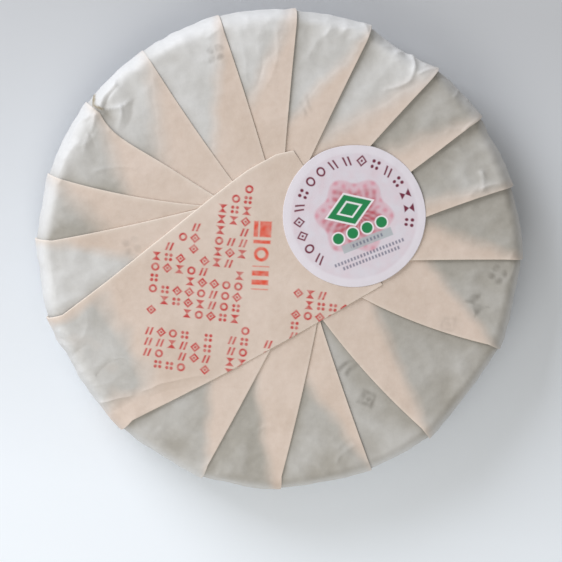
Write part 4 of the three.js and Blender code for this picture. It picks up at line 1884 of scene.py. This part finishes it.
@dataclass(frozen=True)
class PaintedBoard:
    """Board painted matt, under the cake.

    To the eye it is pale and plain, with no gloss. It darkens slowly from front to back, which is
    painted shade for the light falling off towards the back.

    Attributes:
        near: its tone at the front.
        far: its tone at the back, where the painted shade is darkest.
        way: the direction in which it darkens.
        reach: how far from the middle each tone is reached, in metres.
        roughness: of the paint.
    """

    near: str = "#F0F6FD"
    far: str = "#C6C8CC"
    way: tuple[float, float, float] = (0.15, 0.98, 0.0)
    reach: float = 0.12
    roughness: float = 0.75

    def material(self) -> bpy.types.Material:
        """Makes the finish: the tones are mixed by the distance along the way.

        Returns:
            The material.
        """
        material, tree, shader = new_tree("matt_painted_board")
        place = add_node(tree, "ShaderNodeTexCoord").outputs["Object"]
        slant = add_node(
            tree, "ShaderNodeVectorMath", {0: place, 1: self.way}, operation="DOT_PRODUCT"
        ).outputs["Value"]
        share = add_node(
            tree, "ShaderNodeMapRange", {"Value": slant, "From Min": -self.reach, "From Max": self.reach}
        ).outputs[0]
        # Painted shade: the floor's tone darkens towards the back.
        tones = {0: share, 6: linear(self.near), 7: linear(self.far)}
        tone = add_node(tree, "ShaderNodeMix", tones, data_type="RGBA").outputs[2]
        tree.links.new(tone, shader.inputs["Base Color"])
        shader.inputs["Roughness"].default_value = self.roughness
        return material


# The studio

@dataclass(frozen=True)
class Lamp:
    """A square soft light.

    Attributes:
        name: the lamp's name.
        spot: where it stands, in mm.
        side: its width and height, in mm.
        power: in watts.
        colour: its tint.
        aim: where it looks, in mm.
    """

    name: str
    spot: tuple[float, float, float]
    side: float
    power: float
    colour: str
    aim: tuple[float, float, float] = (0.0, 0.0, 10.0)


@dataclass
class Studio:
    """Pale floor, soft lights and a camera that looks down on the cake.

    Attributes:
        form: the cake's form, which the camera aims at.
        picture_side: the picture's side in pixels.
        back_middle: where the middle of the cake's back falls, in pixels from the top left.
        mm_per_pixel: the picture's scale at the back.
        camera_tilt: how far the camera leans from straight above, in degrees.
        camera_bearing: towards which bearing it leans, in degrees.
        camera_distance: in mm.
        sensor: width of the camera's sensor, in mm.
        clip: nearest and farthest distance that the camera sees, in metres.
        lamps: a broad key low at the upper left, and a weak fill from below, a little to the left.
        surround: tint of the light from all sides.
        surround_strength: of that light.
        floor_reach: half of the floor's side, in mm.
    """

    form: CakeForm
    picture_side: float = 562.0
    back_middle: tuple[float, float] = (280.2, 251.2)
    mm_per_pixel: float = 0.4545
    camera_tilt: float = 6.0
    camera_bearing: float = 132.0
    camera_distance: float = 2500.0
    sensor: float = 36.0
    clip: tuple[float, float] = (0.05, 20.0)
    lamps: tuple[Lamp, ...] = (
        Lamp("key", (-1160.0, 1268.0, 784.0), 1080.0, 30.3, "#F6F9FF"),
        Lamp("fill", (-200.0, -480.0, 560.0), 560.0, 2.1, "#FFFDF8"),
    )
    surround: str = "#F5F3EF"
    surround_strength: float = 0.455
    floor_reach: float = 4000.0

    def camera(self) -> None:
        """Places the camera so that the back's middle falls where it should in the picture."""
        half = self.picture_side / 2
        aim = np.array([
            self.form.middle[0] + (half - self.back_middle[0]) * self.mm_per_pixel,
            self.form.middle[1] + (self.back_middle[1] - half) * self.mm_per_pixel,
            self.form.thickness,
        ])
        tilt = math.radians(self.camera_tilt)
        way = np.append(polar(math.sin(tilt), self.camera_bearing), math.cos(tilt))
        data = bpy.data.cameras.new("camera")
        data.sensor_width = self.sensor
        data.lens = self.sensor * self.camera_distance / (self.picture_side * self.mm_per_pixel)
        data.clip_start, data.clip_end = self.clip
        camera = bpy.data.objects.new("camera", data)
        bpy.context.scene.collection.objects.link(camera)
        place_and_aim(camera, aim + way * self.camera_distance, aim)
        bpy.context.scene.camera = camera

    def lights(self) -> None:
        """Places the lamps and sets the even light from all sides."""
        for lamp in self.lamps:
            data = bpy.data.lights.new(lamp.name, "AREA")
            data.shape = "SQUARE"
            data.size = lamp.side * MM
            data.energy = lamp.power
            data.color = linear(lamp.colour)[:3]
            light = bpy.data.objects.new(lamp.name, data)
            bpy.context.scene.collection.objects.link(light)
            place_and_aim(light, np.array(lamp.spot), np.array(lamp.aim))
        world = bpy.data.worlds.new("soft_surround")
        world.use_nodes = True
        background = world.node_tree.nodes["Background"]
        background.inputs["Color"].default_value = linear(self.surround)
        background.inputs["Strength"].default_value = self.surround_strength
        bpy.context.scene.world = world

    def floor(self, material: bpy.types.Material) -> None:
        """Lays a wide level floor at the cake's foot.

        Args:
            material: the floor's paint.
        """
        signs = np.array([(-1, -1, 0), (1, -1, 0), (1, 1, 0), (-1, 1, 0)])
        mesh = bpy.data.meshes.new("floor")
        mesh.from_pydata((signs * self.floor_reach * MM).tolist(), [], [(0, 1, 2, 3)])
        mesh.materials.append(material)
        floor = bpy.data.objects.new("floor", mesh)
        bpy.context.scene.collection.objects.link(floor)

    def colours(self) -> None:
        """Shows colours as they are, without a film curve."""
        bpy.context.scene.view_settings.view_transform = "Standard"
        bpy.context.scene.view_settings.look = "None"


def place_and_aim(thing: bpy.types.Object, spot: Array, aim: Array) -> None:
    """Puts a camera or lamp at a spot, looking at another with +Y up in the picture, in mm.

    Args:
        thing: the camera or lamp.
        spot: where it stands.
        aim: where it looks.
    """
    back = spot - aim
    back = back / np.linalg.norm(back)
    right = np.cross(np.array([0.0, 1.0, 0.0]), back)
    right = right / np.linalg.norm(right)
    rows = np.eye(4)
    rows[:3, :3] = np.stack([right, np.cross(back, right), back], axis=-1)
    rows[:3, 3] = spot * MM
    thing.matrix_world = Matrix(rows.tolist())


def make_sheets(form: CakeForm, relief: PaperRelief) -> list[WrapperSheet]:
    """The panels in clockwise order, and then the flap over their inner ends.

    Up to the lowest panel each lies over the next one, and past it under the next one.

    Args:
        form: the cake's form.
        relief: the paper's small shape.

    Returns:
        Seventeen panels and the flap.
    """
    sheets: list[WrapperSheet] = []
    for index, (first, last) in enumerate(zip(FOLDS[:-1], FOLDS[1:])):
        on_top = OnTop.LAST if index < LOWEST_PANEL else OnTop.FIRST
        if index == LOWEST_PANEL:
            on_top = OnTop.NEITHER
        if index == 0:
            first = replace(first, inner=UNDER_FLAP[0])
        if index == len(FOLDS) - 2:
            last = replace(last, inner=UNDER_FLAP[1])
        corner = FOLDS[0].inner if index == CORNER_PANEL else None
        name = f"pleat_{index + 1:02d}"
        sheets.append(WrapperSheet(name, form, relief, first, last, on_top, corner))
    lower = replace(FOLDS[-1], bearing=FOLDS[-1].bearing + 360, bow=-1.3)
    upper = replace(FOLDS[0], bow=0.0)
    sheets.append(Flap("printed_flap", form, relief, lower, upper, OnTop.BOTH))
    return sheets


def main() -> None:
    """Builds the cake piece by piece and sets the studio round it."""
    logging.basicConfig(level=logging.INFO, format="%(name)s: %(message)s")
    form = CakeForm()
    relief = PaperRelief(form)
    studio = Studio(form)
    studio.camera()
    studio.lights()
    studio.floor(PaintedBoard().material())
    studio.colours()
    paper = CottonPaper().material()
    sheets = make_sheets(form, relief)
    for sheet in sheets:
        sheet.piece(paper)
    hem = form.waist_run + sheets[0].hem_run
    FrontSheet("smooth_front", form, relief, hem).piece(paper)
    RoundLabel(form, relief).piece(CoatedLabel().material())
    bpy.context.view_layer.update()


if __name__ == "__main__":
    main()
